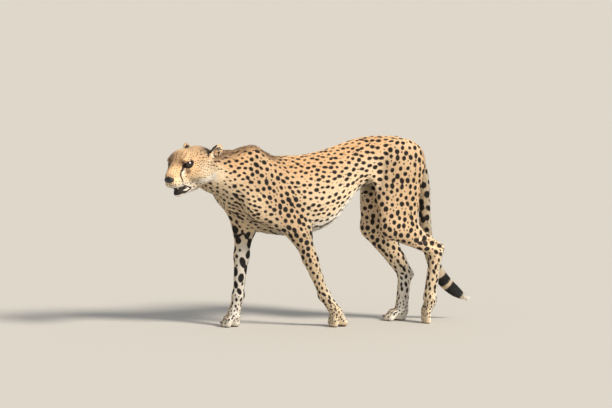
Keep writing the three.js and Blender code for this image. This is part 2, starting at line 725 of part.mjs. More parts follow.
const group = new THREE.Group();
group.name = 'cheetah';
const bounds = new THREE.Box3();
for (const [name, shape] of Object.entries(shapes)) {
  const kind = Object.keys(FINISHES).find((start) => name.startsWith(start));
  const mesh = new THREE.Mesh(geometryOf(shape), new THREE.MeshStandardMaterial(FINISHES[kind] ?? COAT));
  mesh.name = name;
  mesh.geometry.computeBoundingBox();
  bounds.union(mesh.geometry.boundingBox);
  group.add(mesh);
}

// The origin lies under the middle of the body's box, on the floor.
const middle = bounds.getCenter(new THREE.Vector3());
for (const mesh of group.children) mesh.geometry.translate(-middle.x, -middle.y, -bounds.min.z);

export default group;
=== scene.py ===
"""A walking cheetah: one skin over the body, its coat of tufts, eyes, claws, teeth and whiskers.

The body's masses are worked out in millimetres in the animal's own frame:
it faces -X, its left side is towards -Y and it stands on the plane Z = 0.
Meshes are made in metres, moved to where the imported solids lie.
"""
import logging
import math
from dataclasses import dataclass, field
from enum import Enum
from functools import cached_property
from typing import Callable, Iterable, Sequence

import bmesh
import bpy
import numpy as np
from mathutils import Matrix, Vector
from mathutils.kdtree import KDTree


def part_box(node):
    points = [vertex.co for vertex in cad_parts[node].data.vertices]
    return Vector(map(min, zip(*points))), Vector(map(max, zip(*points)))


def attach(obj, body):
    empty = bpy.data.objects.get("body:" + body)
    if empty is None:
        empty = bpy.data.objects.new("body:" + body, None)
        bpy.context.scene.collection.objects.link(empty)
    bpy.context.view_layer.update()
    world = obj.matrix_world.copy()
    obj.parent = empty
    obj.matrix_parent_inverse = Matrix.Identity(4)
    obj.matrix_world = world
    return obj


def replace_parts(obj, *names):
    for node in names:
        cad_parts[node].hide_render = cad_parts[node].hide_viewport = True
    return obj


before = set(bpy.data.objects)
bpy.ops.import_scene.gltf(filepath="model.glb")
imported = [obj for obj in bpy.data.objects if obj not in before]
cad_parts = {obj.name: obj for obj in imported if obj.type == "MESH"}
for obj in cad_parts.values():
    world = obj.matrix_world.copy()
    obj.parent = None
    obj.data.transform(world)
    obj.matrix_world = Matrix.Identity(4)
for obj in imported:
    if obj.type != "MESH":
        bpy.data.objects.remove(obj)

LOG = logging.getLogger("cheetah")
MM = 0.001  # metres in a millimetre
FAR = 1000.0  # a distance, in mm, beyond every mass
BEYOND = 12.0  # how far from a mark's rim its distance is still kept, in mm
SIDES = (1, -1)  # of the head: its left, then its right
FORE = ("foreleg_left", "foreleg_right")
HIND = ("hindleg_left", "hindleg_right")
SEED = 11

Array = np.ndarray
Triple = tuple[float, float, float]


def vec(*values: float) -> Array:
    """A point or direction as an array."""
    return np.array(values, float)


def unit(v: Array) -> Array:
    """Vectors scaled to length one, row by row."""
    return v / np.maximum(np.linalg.norm(v, axis=-1, keepdims=True), 1e-9)


def ease(low: float, high: float, x: Array) -> Array:
    """A smooth step from 0 at `low` to 1 at `high`; `low` may be the larger."""
    t = np.clip((x - low) / (high - low), 0.0, 1.0)
    return t * t * (3 - 2 * t)


def blend(a: Array, b: Array, k: float) -> Array:
    """A smooth union of two distances, rounded over a width k."""
    h = np.maximum(k - np.abs(a - b), 0.0) / k
    return np.minimum(a, b) - h * h * k * 0.25


def carve(a: Array, b: Array, k: float) -> Array:
    """A smooth cut of b out of a."""
    return -blend(-a, b, k)


def along(xs: Sequence[float], values: Sequence[float], x: Array) -> Array:
    """Values read off a list of stations with a cubic through them.

    Args:
        xs: the stations, rising.
        values: the value at each station.
        x: where to read.

    Returns:
        One value for each x, held level past the ends.
    """
    xs, values = np.asarray(xs, float), np.asarray(values, float)
    low = np.maximum(np.arange(len(xs)) - 1, 0)
    high = np.minimum(np.arange(len(xs)) + 1, len(xs) - 1)
    slope = (values[high] - values[low]) / (xs[high] - xs[low])
    x = np.clip(x, xs[0], xs[-1])
    i = np.clip(np.searchsorted(xs, x) - 1, 0, len(xs) - 2)
    w = xs[i + 1] - xs[i]
    t = (x - xs[i]) / w
    h = (1 - t) ** 2
    return (h * (1 + 2 * t) * values[i] + h * t * w * slope[i]
            + t * t * (3 - 2 * t) * values[i + 1] - t * t * (1 - t) * w * slope[i + 1])


def beside(p: Array, start: Array, end: Array) -> tuple[Array, Array]:
    """Where along a line each point lies, from 0 to 1, and how far from it."""
    axis = end - start
    t = np.clip((p - start) @ axis / (axis @ axis), 0, 1)
    return t, np.linalg.norm(p - start - t[:, None] * axis, axis=1)


# ---------------------------------------------------------------- masses


@dataclass(frozen=True)
class Ball:
    """An ellipsoid, its axes the columns of `axes`."""

    centre: Array
    radii: Triple
    axes: Array = field(default_factory=lambda: np.eye(3))

    @property
    def reach(self) -> float:
        """How far the mass extends from its centre."""
        return max(self.radii)

    def distance(self, p: Array) -> Array:
        """Signed distance of each point, negative inside."""
        r = np.array(self.radii)
        q = ((p - self.centre) @ self.axes) / r
        k0 = np.linalg.norm(q, axis=1)
        k1 = np.linalg.norm(q / r, axis=1)
        return np.where(k1 < 1e-9, -min(self.radii), k0 * (k0 - 1) / np.maximum(k1, 1e-9))


@dataclass(frozen=True)
class Limb:
    """A cone with round ends, squashed along one direction."""

    start: Array
    end: Array
    r_start: float
    r_end: float
    squash: float = 1.0
    across: Array = field(default_factory=lambda: vec(0, 1, 0))

    @property
    def centre(self) -> Array:
        """The middle of the limb's axis."""
        return (self.start + self.end) / 2

    @property
    def reach(self) -> float:
        """How far the mass extends from its centre."""
        half = np.linalg.norm(self.end - self.start) / 2
        return half + max(self.r_start, self.r_end) * max(1.0, self.squash)

    def flat(self, p: Array) -> Array:
        """Points stretched across the limb, so that a squashed limb is round."""
        lift = (p @ self.across) * (1 / self.squash - 1)
        return p + lift[..., None] * self.across

    def distance(self, p: Array) -> Array:
        """Signed distance of each point, negative inside."""
        start = self.flat(self.start)
        axis = self.flat(self.end) - start
        l2 = axis @ axis
        taper = self.r_start - self.r_end
        a2 = l2 - taper * taper
        pa = self.flat(p) - start
        y = pa @ axis
        z = y - l2
        off = pa * l2 - y[:, None] * axis
        x2 = np.einsum("ij,ij->i", off, off)
        y2, z2 = y * y * l2, z * z * l2
        k = np.sign(taper) * taper * taper * x2
        past_end = np.sqrt(x2 + z2) / l2 - self.r_end
        before = np.sqrt(x2 + y2) / l2 - self.r_start
        side = (np.sqrt(x2 * a2 / l2) + y * taper) / l2 - self.r_start
        d = np.where(np.sign(z) * a2 * z2 > k, past_end, np.where(np.sign(y) * a2 * y2 < k, before, side))
        return d * min(1.0, self.squash)


class Cluster:
    """Masses joined in order, each over its own width."""

    SLACK = 30.0  # masses further off than this change nothing

    def __init__(self, members: Iterable[tuple[Ball | Limb, float]]) -> None:
        """Keeps the masses and their bounding spheres."""
        self.members = list(members)
        self.centres = np.array([mass.centre for mass, _ in self.members])
        self.reaches = np.array([mass.reach + width for mass, width in self.members])

    def join(self, d: Array, p: Array, middle: Array, spread: float) -> Array:
        """Joins the masses near a clump of points to a distance.

        Args:
            d: the distance so far.
            p: the points.
            middle: the clump's middle.
            spread: the clump's radius.

        Returns:
            The joined distance.
        """
        gap = np.linalg.norm(self.centres - middle, axis=1) - self.reaches - spread
        for i in np.flatnonzero(gap < self.SLACK):
            mass, width = self.members[i]
            d = blend(d, mass.distance(p), width)
        return d


# ---------------------------------------------------------------- head


def turned(axis: str, degrees: float) -> Array:
    """A rotation about one axis as a 3 x 3 array."""
    return np.array(Matrix.Rotation(math.radians(degrees), 3, axis))


@dataclass(frozen=True)
class Eye:
    """An eyeball, its gaze and the almond opening of its lids."""

    ahead: float = -9.0
    aside: float = 42.0
    above: float = -2.0
    radius: float = 19.0
    gaze: Triple = (0.70, 0.70, -0.06)  # the way the lids open
    look: Triple = (0.84, 0.53, -0.08)  # the way the iris faces
    half_width: float = 13.2
    half_height: float = 5.4
    slant: float = -14.0  # degrees, inner corner low
    lid: float = 2.1  # how far the lids stand off the ball
    sunk: float = 4.6  # how far the skin in the opening lies inside the ball


@dataclass(frozen=True)
class Head:
    """Where the head's frame sits, how it is turned, and what is on it."""

    at: Triple = (-622.0, -108.0, 675.0)  # halfway between the eyes
    turn: float = 35.0
    nod: float = 10.0
    tilt: float = 5.0
    eye: Eye = Eye()
    nose: Triple = (80.0, 0.0, -42.0)
    nose_radii: Triple = (13.0, 20.0, 13.0)
    ear_size: Triple = (27.0, 34.0, 13.0)
    ear_faces: Triple = (0.25, 0.92, -0.3)
    ear_roots: tuple[Triple, Triple] = ((-133.0, 52.0, -8.0), (-130.0, -52.0, 0.0))
    ear_tips: tuple[Triple, Triple] = ((-181.0, 84.0, 29.0), (-170.0, -82.0, 44.0))

    # How far from the head's, an ear's or an eye's middle a clump of points is still worked on, in mm.
    REACH = 260.0
    EAR_REACH = 160.0
    EYE_REACH = 60.0
    EAR_EXTENT = 46.0  # how far an ear's own marks extend from its middle
    BEHIND = 40.0  # what stands for the distance to the lids' opening behind an eye

    @cached_property
    def axes(self) -> Array:
        """Ahead, to the animal's left, and above, as columns."""
        face = np.diag([-1.0, -1.0, 1.0])
        return turned("Z", self.turn) @ face @ turned("Y", self.nod) @ turned("X", self.tilt)

    def on(self, a: float, b: float, c: float) -> Array:
        """A place given ahead, aside and above in the head's frame."""
        return np.array(self.at) + self.axes @ vec(a, b, c)

    def local(self, p: Array) -> Array:
        """Points brought into the head's frame."""
        return (p - np.array(self.at)) @ self.axes

    def ball(self, a: float, b: float, c: float, radii: Triple) -> Ball:
        """An ellipsoid set square in the head's frame."""
        return Ball(self.on(a, b, c), radii, self.axes)

    def pair(self, a: float, b: float, c: float, radii: Triple, k: float) -> list[tuple[Ball, float]]:
        """The same ellipsoid on both sides of the head."""
        return [(self.ball(a, side * b, c, radii), k) for side in SIDES]

    def skull(self) -> Cluster:
        """The masses above the mouth."""
        return Cluster([
            (self.ball(-85, 0, -4, (84, 66, 50)), 30),
            (self.ball(-26, 0, 22, (46, 50, 33)), 22),
            *self.pair(-34, 46, -32, (46, 30, 38), 20),
            *self.pair(-90, 43, -60, (52, 36, 44), 26),
            *self.pair(-4, 36, 19, (22, 18, 12), 14),
            (Limb(self.on(-4, 0, 8), self.on(66, 0, -30), 30, 20), 16),
            (Limb(self.on(-6, 0, -46), self.on(50, 0, -55), 46, 28), 18),
            *self.pair(50, 17, -61, (25, 19, 21), 10),
            (self.ball(66, 0, -48, (14, 18, 17)), 8),
            (self.ball(*self.nose, self.nose_radii), 4),
        ])

    def jaw(self) -> Cluster:
        """The masses below the mouth."""
        return Cluster([
            (Limb(self.on(-62, 0, -86), self.on(28, 0, -104), 42, 20, 0.85, vec(0, 0, 1)), 22),
            (self.ball(37, 0, -108, (17, 19, 15)), 8),
        ])

    def mouth(self) -> Limb:
        """The wedge between the lips, closing at their corners."""
        return Limb(self.on(14, 0, -88), self.on(96, 0, -91), 3, 9, 5, self.axes[:, 1])

    @cached_property
    def ear_frames(self) -> list[tuple[Array, Array]]:
        """For the left and right ear, its middle, and its wide, tall and outward axes as columns."""
        return [self.ear_frame(i) for i in range(2)]

    def ear_frame(self, i: int) -> tuple[Array, Array]:
        """Works out the frame of one ear."""
        root, tip = self.on(*self.ear_roots[i]), self.on(*self.ear_tips[i])
        side = math.copysign(1.0, self.ear_roots[i][1])
        hollow = self.axes @ (np.array(self.ear_faces) * vec(1, side, 1))
        rise = unit(tip - root)
        wide = unit(np.cross(rise, hollow))
        out = unit(np.cross(wide, rise))
        if out @ hollow < 0:
            out, wide = -out, -wide
        return (root + tip) / 2, np.column_stack([wide, rise, out])

    def ears(self, d: Array, p: Array) -> Array:
        """Joins both cupped ears to a distance."""
        wide, tall, thick = self.ear_size
        for middle, axes in self.ear_frames:
            if np.linalg.norm(p.mean(0) - middle) > self.EAR_REACH:
                continue
            cup = Ball(middle, self.ear_size, axes).distance(p)
            dish = Ball(middle + axes[:, 2] * thick, (wide * 0.72, tall * 0.74, thick * 1.1), axes)
            d = blend(d, carve(cup, dish.distance(p), 3), 7)
        return d

    @cached_property
    def eye_frames(self) -> dict[int, tuple[Array, Array]]:
        """For each side, an eye's centre, and its outer, upper and gaze axes as columns."""
        return {side: self.eye_frame(side) for side in SIDES}

    def eye_frame(self, side: int) -> tuple[Array, Array]:
        """Works out the frame of one eye."""
        eye = self.eye
        gaze = unit(self.axes @ (np.array(eye.gaze) * vec(1, side, 1)))
        up = unit(self.axes[:, 2] - gaze * (self.axes[:, 2] @ gaze))
        out = np.cross(up, gaze)
        if out @ self.axes[:, 1] * side <= 0:
            out = -out
        cos, sin = math.cos(math.radians(-eye.slant)), math.sin(math.radians(-eye.slant))
        out, up = out * cos + up * sin, up * cos - out * sin
        return self.on(eye.ahead, side * eye.aside, eye.above), np.column_stack([out, up, gaze])

    def opening(self, p: Array, side: int) -> Array:
        """Signed distance to the almond between an eye's lids, seen along its gaze."""
        centre, axes = self.eye_frames[side]
        q = (p - centre) @ axes
        wide, high = self.eye.half_width, self.eye.half_height
        arc = (wide * wide + high * high) / (2 * high)
        rise = arc - high
        top = np.hypot(q[:, 0], q[:, 1] + rise) - arc
        low = np.hypot(q[:, 0], q[:, 1] - rise) - arc
        return np.where(q[:, 2] > 0, np.maximum(top, low), self.BEHIND)

    def openings(self, p: Array) -> Array:
        """Signed distance to the nearer of the two openings."""
        return np.minimum(self.opening(p, 1), self.opening(p, -1))

    def lids(self, d: Array, p: Array) -> Array:
        """Raises the lids over each eyeball and opens the almond between them."""
        eye = self.eye
        for side in SIDES:
            centre, _ = self.eye_frames[side]
            away = np.linalg.norm(p - centre, axis=1)
            if away.min() > self.EYE_REACH:
                continue
            d = blend(d, away - eye.radius - eye.lid, 5)
            gap = np.maximum(self.opening(p, side), eye.radius - eye.sunk - away)
            d = carve(d, gap, 1.2)
        return d

    @cached_property
    def hollows(self) -> list[tuple[Limb, float]]:
        """The nostrils, their slits and the groove under the nose."""
        on = self.on
        holes = [(Limb(on(94, side * 7.5, -41), on(80, side * 10, -42), 3.6, 2.4), 2.0) for side in SIDES]
        slits = [(Limb(on(89, side * 11, -44), on(80, side * 19, -41), 1.8, 1.2), 2.0) for side in SIDES]
        return [*holes, *slits, (Limb(on(93, 0, -50), on(84, 0, -76), 1.5, 1.8), 3.0)]

    def nostrils(self, d: Array, p: Array) -> Array:
        """Cuts the nostrils, their slits, and the groove under the nose."""
        for hollow, width in self.hollows:
            d = carve(d, hollow.distance(p), width)
        return d


# ---------------------------------------------------------------- body


@dataclass(frozen=True)
class Trunk:
    """The barrel of the body, an egg-shaped section at each station."""

    x: tuple[float, ...] = (-378, -325, -285, -240, -170, -90, 0, 60, 110, 150, 200, 260, 320, 365, 398)
    top: tuple[float, ...] = (696, 736, 743, 724, 697, 692, 707, 724, 740, 750, 757, 757, 741, 712, 672)
    bottom: tuple[float, ...] = (468, 405, 378, 362, 351, 350, 371, 406, 470, 516, 546, 560, 572, 580, 585)
    half: tuple[float, ...] = (54, 76, 84, 89, 94, 98, 98, 92, 84, 77, 74, 76, 76, 62, 40)
    keel: float = 0.3
    ridge: float = 0.22
    caps: tuple[float, float] = (40.0, 26.0)

    def height(self, p: Array) -> Array:
        """How far up the section each point lies, 0 at the belly and 1 at the back."""
        top, bottom = along(self.x, self.top, p[:, 0]), along(self.x, self.bottom, p[:, 0])
        return (p[:, 2] - bottom) / (top - bottom)

    def distance(self, p: Array) -> Array:
        """Signed distance of each point, negative inside."""
        x = np.clip(p[:, 0], self.x[0], self.x[-1])
        top, bottom = along(self.x, self.top, x), along(self.x, self.bottom, x)
        high = (top - bottom) / 2
        up = (p[:, 2] - (top + bottom) / 2) / high
        narrow = 1 - self.keel * np.maximum(-up, 0) ** 1.5 - self.ridge * np.maximum(up, 0) ** 2
        wide = along(self.x, self.half, x) * np.maximum(narrow, 0.3)
        past = (p[:, 0] - x) / np.where(p[:, 0] < x, self.caps[0], self.caps[1])
        return (np.sqrt(up**2 + (p[:, 1] / wide) ** 2 + past**2) - 1) * np.minimum(high, wide) * 0.9


@dataclass(frozen=True)
class Leg:
    """The joints of one leg, upper to lower, and the pad behind its toes."""

    side: int  # -1 on the left, 1 on the right
    joints: dict[str, Triple]
    ankle: str

    REGIONS = ("", "")  # the left and the right leg's names
    TOE_SPREAD = (-25.0, -8.5, 8.5, 25.0)
    TOE_REACH = (-9.0, 3.0, 3.0, -9.0)

    @property
    def region(self) -> str:
        """The name of the leg's region."""
        return self.REGIONS[self.side > 0]

    def at(self, name: str) -> Array:
        """A joint's place."""
        return vec(*self.joints[name])

    def places(self, names: str) -> list[Array]:
        """The places of several joints, named in one string."""
        return [self.at(name) for name in names.split()]

    def paw_frame(self) -> tuple[Array, Array]:
        """The way the toes point, and the way the sole faces."""
        ahead = unit(self.at("toe") - self.at("knuckle"))
        sole = np.cross(ahead, vec(0, 1, 0))
        if sole @ (self.at("pad") - self.at("knuckle")) < 0:
            sole = -sole
        return ahead, sole

    def toes(self) -> list[tuple[Array, Array, Array]]:
        """Each toe's root, middle joint and tip."""
        ahead, sole = self.paw_frame()
        knuckle, across = self.at("knuckle"), vec(0, 1, 0)
        toes = []
        for aside, reach in zip(self.TOE_SPREAD, self.TOE_REACH):
            root = knuckle + across * aside * 0.72 + sole * 3
            tip = self.at("toe") + across * aside + vec(ahead[0], 0, min(ahead[2], 0) * 0.2) * reach
            joint = root + (tip - root) * 0.58 - sole * 8
            toes.append((root, joint, tip))
        return toes

    def paw(self) -> Cluster:
        """The instep, the pad and the four arched toes."""
        toes = self.toes()
        knuckle, pad = self.at("knuckle"), self.at("pad")
        web = pad + ((toes[1][2] + toes[2][2]) / 2 - pad) * 0.42
        return Cluster([
            (Limb(self.at(self.ankle), knuckle, 22, 25), 14),
            (Limb(knuckle, pad, 24, 17, 1.3), 14),
            (Limb(pad, web, 15, 12, 1.6), 12),
            *[step for root, joint, tip in toes
              for step in ((Limb(root, joint, 15, 13.5), 6), (Limb(joint, tip, 13.5, 12.5), 5))],
        ])


class Foreleg(Leg):
    """A leg that hangs from the shoulder blade."""

    REGIONS = FORE

    def masses(self) -> list[tuple[Ball | Limb, float]]:
        """Muscle and bone from the blade to the wrist."""
        blade, shoulder, elbow, wrist = self.places("blade shoulder elbow wrist")
        triceps = blade + (shoulder - blade) * 0.55 + vec(38, 0, 10)
        pit = elbow + vec(6, -self.side * 6, 8)
        low = elbow + (wrist - elbow) * 0.42
        return [
            (Limb(blade, shoulder, 30, 58, 0.55), 34),
            (Limb(triceps, pit, 58, 34, 0.58), 34),
            (Limb(shoulder, elbow, 52, 42, 0.62), 30),
            (Ball(elbow + vec(20, 0, 20), (17, 15, 20)), 22),
            (Limb(elbow, low, 40, 31, 0.82), 22),
            (Limb(low, wrist, 31, 21, 0.86), 14),
            (Ball(wrist, (25, 23, 26)), 16),
        ]

    def relief(self) -> list[tuple[Limb, float, float]]:
        """Ridges and hollows that only the skin shows, with a width and a sign."""
        blade, shoulder, elbow, wrist = self.places("blade shoulder elbow wrist")
        out = vec(0, self.side, 0)
        return [
            (Limb(blade + out * 22, shoulder + out * 30 + vec(10, 0, 40), 7, 5), 10, 1),
            (Limb(elbow + out * 34 + vec(-26, 0, 30), wrist + out * 24 + vec(0, 0, 60), 4, 3), 8, 1),
            (Limb(shoulder + out * 52 + vec(46, 0, 40), elbow + out * 46 + vec(-4, 0, 52), 5, 4), 14, -1),
            (Limb(elbow + out * 36 + vec(10, 0, -30), wrist + out * 25 + vec(12, 0, 40), 3, 2), 9, -1),
        ]


class Hindleg(Leg):
    """A leg that hangs from the hip."""

    REGIONS = HIND

    def masses(self) -> list[tuple[Ball | Limb, float]]:
        """Muscle and bone from the hip to the hock."""
        hip, sit, knee, hock, heel, knuckle = self.places("hip sit knee hock heel knuckle")
        calf = knee + (hock - knee) * 0.28 + vec(16, 0, 12)
        ham = knee + (hock - knee) * 0.34 + vec(8, 0, 14)
        string = calf + (heel - calf) * 0.55
        return [
            (Ball(hip + vec(4, -self.side * 12, 34), (92, 46, 80)), 40),
            (Limb(hip, knee, 80, 46, 0.52), 36),
            (Limb(knee + vec(-38, -self.side * 28, 190), knee + vec(-3, 0, 26), 44, 34, 0.55), 30),
            (Limb(sit, ham, 44, 34, 0.62), 34),
            (Ball(knee + vec(-6, 0, 4), (30, 28, 36)), 26),
            (Limb(knee, hock, 42, 25, 0.72), 22),
            (Limb(calf, string, 38, 20, 0.7), 24),
            (Limb(string, heel, 17, 13, 0.85), 16),
            (Ball(hock, (24, 22, 26)), 14),
            (Limb(hock, knuckle, 26, 24, 0.85), 14),
        ]

    def relief(self) -> list[tuple[Limb, float, float]]:
        """Ridges and hollows that only the skin shows, with a width and a sign."""
        hip, knee, hock, heel = self.places("hip knee hock heel")
        out = vec(0, self.side, 0)
        calf = knee + (hock - knee) * 0.45
        return [
            (Limb(calf + out * 20 + vec(14, 0, 4), heel + out * 14 + vec(-20, 0, -4), 6, 4), 8, -1),
            (Limb(hip + out * 44 + vec(-30, 0, -70), knee + out * 40 + vec(24, 0, 60), 4, 3), 14, -1),
            (Limb(hip + out * 34 + vec(-72, 0, 96), hip + out * 40 + vec(-20, 0, 92), 6, 5), 14, 1),
        ]


FORELEGS = (
    Foreleg(-1, {"blade": (-285, -42, 694), "shoulder": (-272, -70, 500), "elbow": (-108, -74, 384),
                 "wrist": (-4, -67, 128), "knuckle": (50, -66, 52), "pad": (76, -66, 17),
                 "toe": (31, -66, 10)}, "wrist"),
    Foreleg(1, {"blade": (-268, 40, 696), "shoulder": (-366, 58, 552), "elbow": (-296, 70, 398),
                "wrist": (-324, 60, 124), "knuckle": (-344, 58, 44), "pad": (-338, 58, 15),
                "toe": (-381, 58, 10)}, "wrist"),
)
HINDLEGS = (
    Hindleg(-1, {"hip": (322, -66, 630), "sit": (362, -56, 606), "knee": (276, -88, 394),
                 "hock": (466, -70, 288), "heel": (490, -68, 304), "knuckle": (443, -63, 102),
                 "pad": (451, -63, 84), "toe": (426, -62, 9)}, "hock"),
    Hindleg(1, {"hip": (318, 66, 630), "sit": (360, 56, 606), "knee": (252, 86, 376),
                "hock": (380, 66, 182), "heel": (406, 65, 182), "knuckle": (365, 61, 42),
                "pad": (364, 61, 14), "toe": (304, 61, 10)}, "hock"),
)


@dataclass(frozen=True)
class Tail:
    """The tail's centreline from the rump to the tip, and its radius along it."""

    line: tuple[Triple, ...] = (
        (386, 0, 682), (420, 0, 620), (437, 0, 545), (441, 0, 455), (446, 0, 370),
        (462, 0, 285), (492, 0, 208), (533, 0, 150), (577, 0, 112), (612, 0, 90))
    radius: tuple[float, ...] = (32, 29, 27, 26, 26, 26, 27, 28, 24, 13)
    links: int = 27

    def point(self, t: float) -> Array:
        """A place on the centripetal curve through the line, t from 0 to 1."""
        pts = np.array(self.line, float)
        last = len(pts) - 1
        i = min(int(t * last), last - 1)
        w = t * last - i
        p1, p2 = pts[i], pts[i + 1]
        p0 = pts[i - 1] if i > 0 else 2 * p1 - p2
        p3 = pts[i + 2] if i + 2 <= last else 2 * p2 - p1
        d0, d1, d2 = (np.linalg.norm(b - a) ** 0.5 for a, b in ((p0, p1), (p1, p2), (p2, p3)))
        t1 = ((p1 - p0) / d0 - (p2 - p0) / (d0 + d1) + (p2 - p1) / d1) * d1
        t2 = ((p2 - p1) / d1 - (p3 - p1) / (d1 + d2) + (p3 - p2) / d2) * d1
        return (p1 + t1 * w + (-3 * p1 + 3 * p2 - 2 * t1 - t2) * w**2
                + (2 * p1 - 2 * p2 + t1 + t2) * w**3)

    def chain(self) -> Array:
        """The curve as a row of points."""
        return np.array([self.point(i / self.links) for i in range(self.links + 1)])

    def masses(self) -> Cluster:
        """The tail as a chain of short limbs, joined sharply."""
        spots = self.chain()
        stations = np.arange(len(self.radius)) / (len(self.radius) - 1)
        radii = along(stations, self.radius, np.linspace(0, 1, self.links + 1))
        links = zip(spots, spots[1:], radii, radii[1:])
        return Cluster([(Limb(a, b, ra, rb), 0.5) for a, b, ra, rb in links])

    def length_at(self, p: Array) -> Array:
        """How far along the tail each point lies, in mm from the root."""
        spots = self.chain()
        run = np.concatenate([[0], np.cumsum(np.linalg.norm(np.diff(spots, axis=0), axis=1))])
        best, place = np.full(len(p), FAR), np.zeros(len(p))
        for a, b, s in zip(spots, spots[1:], run):
            t, away = beside(p, a, b)
            place = np.where(away < best, s + t * np.linalg.norm(b - a), place)
            best = np.minimum(best, away)
        return place

    @property
    def length(self) -> float:
        """The tail's whole length in mm."""
        return float(np.linalg.norm(np.diff(self.chain(), axis=0), axis=1).sum())


class Body:
    """The whole animal as one distance, down to the skin's own relief."""

    CELL = 60.0  # points are worked through in clumps of this size
    STEP = 0.4  # half the spacing of the samples that give a slope
    FLATTEST = 0.09  # the least square of a slope that a move is worked out from
    STRIDE = 6.0  # the furthest that a point moves in one pass, in mm

    def __init__(self) -> None:
        """Gathers the masses of every part."""
        self.trunk, self.head, self.tail = Trunk(), Head(), Tail()
        legs = (*FORELEGS, *HINDLEGS)
        head = self.head
        neck = [
            (Limb(vec(-332, 0, 598), vec(-446, -10, 634), 106, 79, 0.74), 46),
            (Limb(vec(-446, -10, 634), head.on(-122, 0, -20), 78, 60, 0.8), 36),
        ]
        self.torso = Cluster([*neck, *[step for leg in legs for step in leg.masses()]])
        self.relief = [step for leg in legs for step in leg.relief()]
        self.paws = [leg.paw() for leg in legs]
        self.rope = self.tail.masses()
        self.skull, self.jaw, self.mouth = head.skull(), head.jaw(), head.mouth()

    def clump(self, p: Array) -> Array:
        """The distance of a few points that lie close together."""
        middle = p.mean(0)
        spread = float(np.linalg.norm(p - middle, axis=1).max())
        near = (p, middle, spread)
        far = np.full(len(p), FAR)
        d = self.torso.join(self.trunk.distance(p), *near)
        for mass, width, sign in self.relief:
            if np.linalg.norm(mass.centre - middle) - mass.reach - spread < Cluster.SLACK:
                away = mass.distance(p)
                d = blend(d, away, width) if sign > 0 else carve(d, away, width)
        for paw in self.paws:
            d = blend(d, paw.join(far, *near), 8)
        d = blend(d, self.rope.join(far, *near), 26)
        d = self.skull.join(d, *near)
        d = self.head.ears(d, p)
        d = self.jaw.join(d, *near)
        if np.linalg.norm(middle - np.array(self.head.at)) < self.head.REACH:
            d = carve(d, self.mouth.distance(p), 4)
            d = self.head.lids(d, p)
            d = self.head.nostrils(d, p)
        return d

    def distance(self, p: Array) -> Array:
        """Signed distance of every point to the coat's outer surface, in mm."""
        keys = np.floor(p / self.CELL).astype(int) @ np.array([1, 1000, 1000000])
        order = np.argsort(keys, kind="stable")
        breaks = np.flatnonzero(np.diff(keys[order])) + 1
        d = np.empty(len(p))
        for part in np.split(order, breaks):
            d[part] = self.clump(p[part])
        return d

    def slope(self, p: Array) -> tuple[Array, Array]:
        """The distance and its gradient from four samples round each point."""
        corners = np.array([[1, -1, -1], [-1, -1, 1], [-1, 1, -1], [1, 1, 1]], float)
        d = self.distance((p[:, None] + corners * self.STEP).reshape(-1, 3)).reshape(-1, 4)
        return d.mean(1), d @ corners / (4 * self.STEP)

    def settle(self, p: Array, depth: Array | float, passes: int) -> Array:
        """Moves points onto the surface `depth` under the coat's tips."""
        for _ in range(passes):
            d, g = self.slope(p)
            size = np.maximum((g * g).sum(1), self.FLATTEST)
            move = np.clip(-(d + depth) / size, -self.STRIDE, self.STRIDE)
            p = p + g * move[:, None]
        return p


# ---------------------------------------------------------------- the lie of the coat


@dataclass(frozen=True)
class Lock:
    """How the coat grows along one stretch of the body, all in mm."""

    depth: float  # from the skin to the tips
    length: float
    width: float
    cover: float  # how many times over the tufts cover the skin


class Growth(Enum):
    """The coat's kinds, from the face to the tail's tip."""

    MUZZLE = Lock(0.9, 4.0, 0.8, 1.5)
    FACE = Lock(1.6, 6.0, 0.95, 1.6)
    RUFF = Lock(3.0, 12.0, 1.2, 1.7)
    NECK = Lock(4.0, 13.0, 1.6, 1.9)
    BACK = Lock(3.6, 11.5, 1.6, 1.8)
    CHEST = Lock(4.0, 12.5, 1.6, 1.8)
    LIMB = Lock(2.6, 9.0, 1.35, 1.6)
    SHIN = Lock(1.7, 6.5, 1.1, 1.6)
    PAW = Lock(1.1, 4.5, 0.95, 1.5)
    TAIL = Lock(4.0, 16.0, 1.6, 2.4)
    BRUSH = Lock(5.5, 26.0, 1.9, 3.0)


@dataclass(frozen=True)
class Stretch:
    """A stretch of the body: the line its hair follows, and how it grows."""

    region: str
    start: Array
    end: Array
    growth: Growth
    girth: float


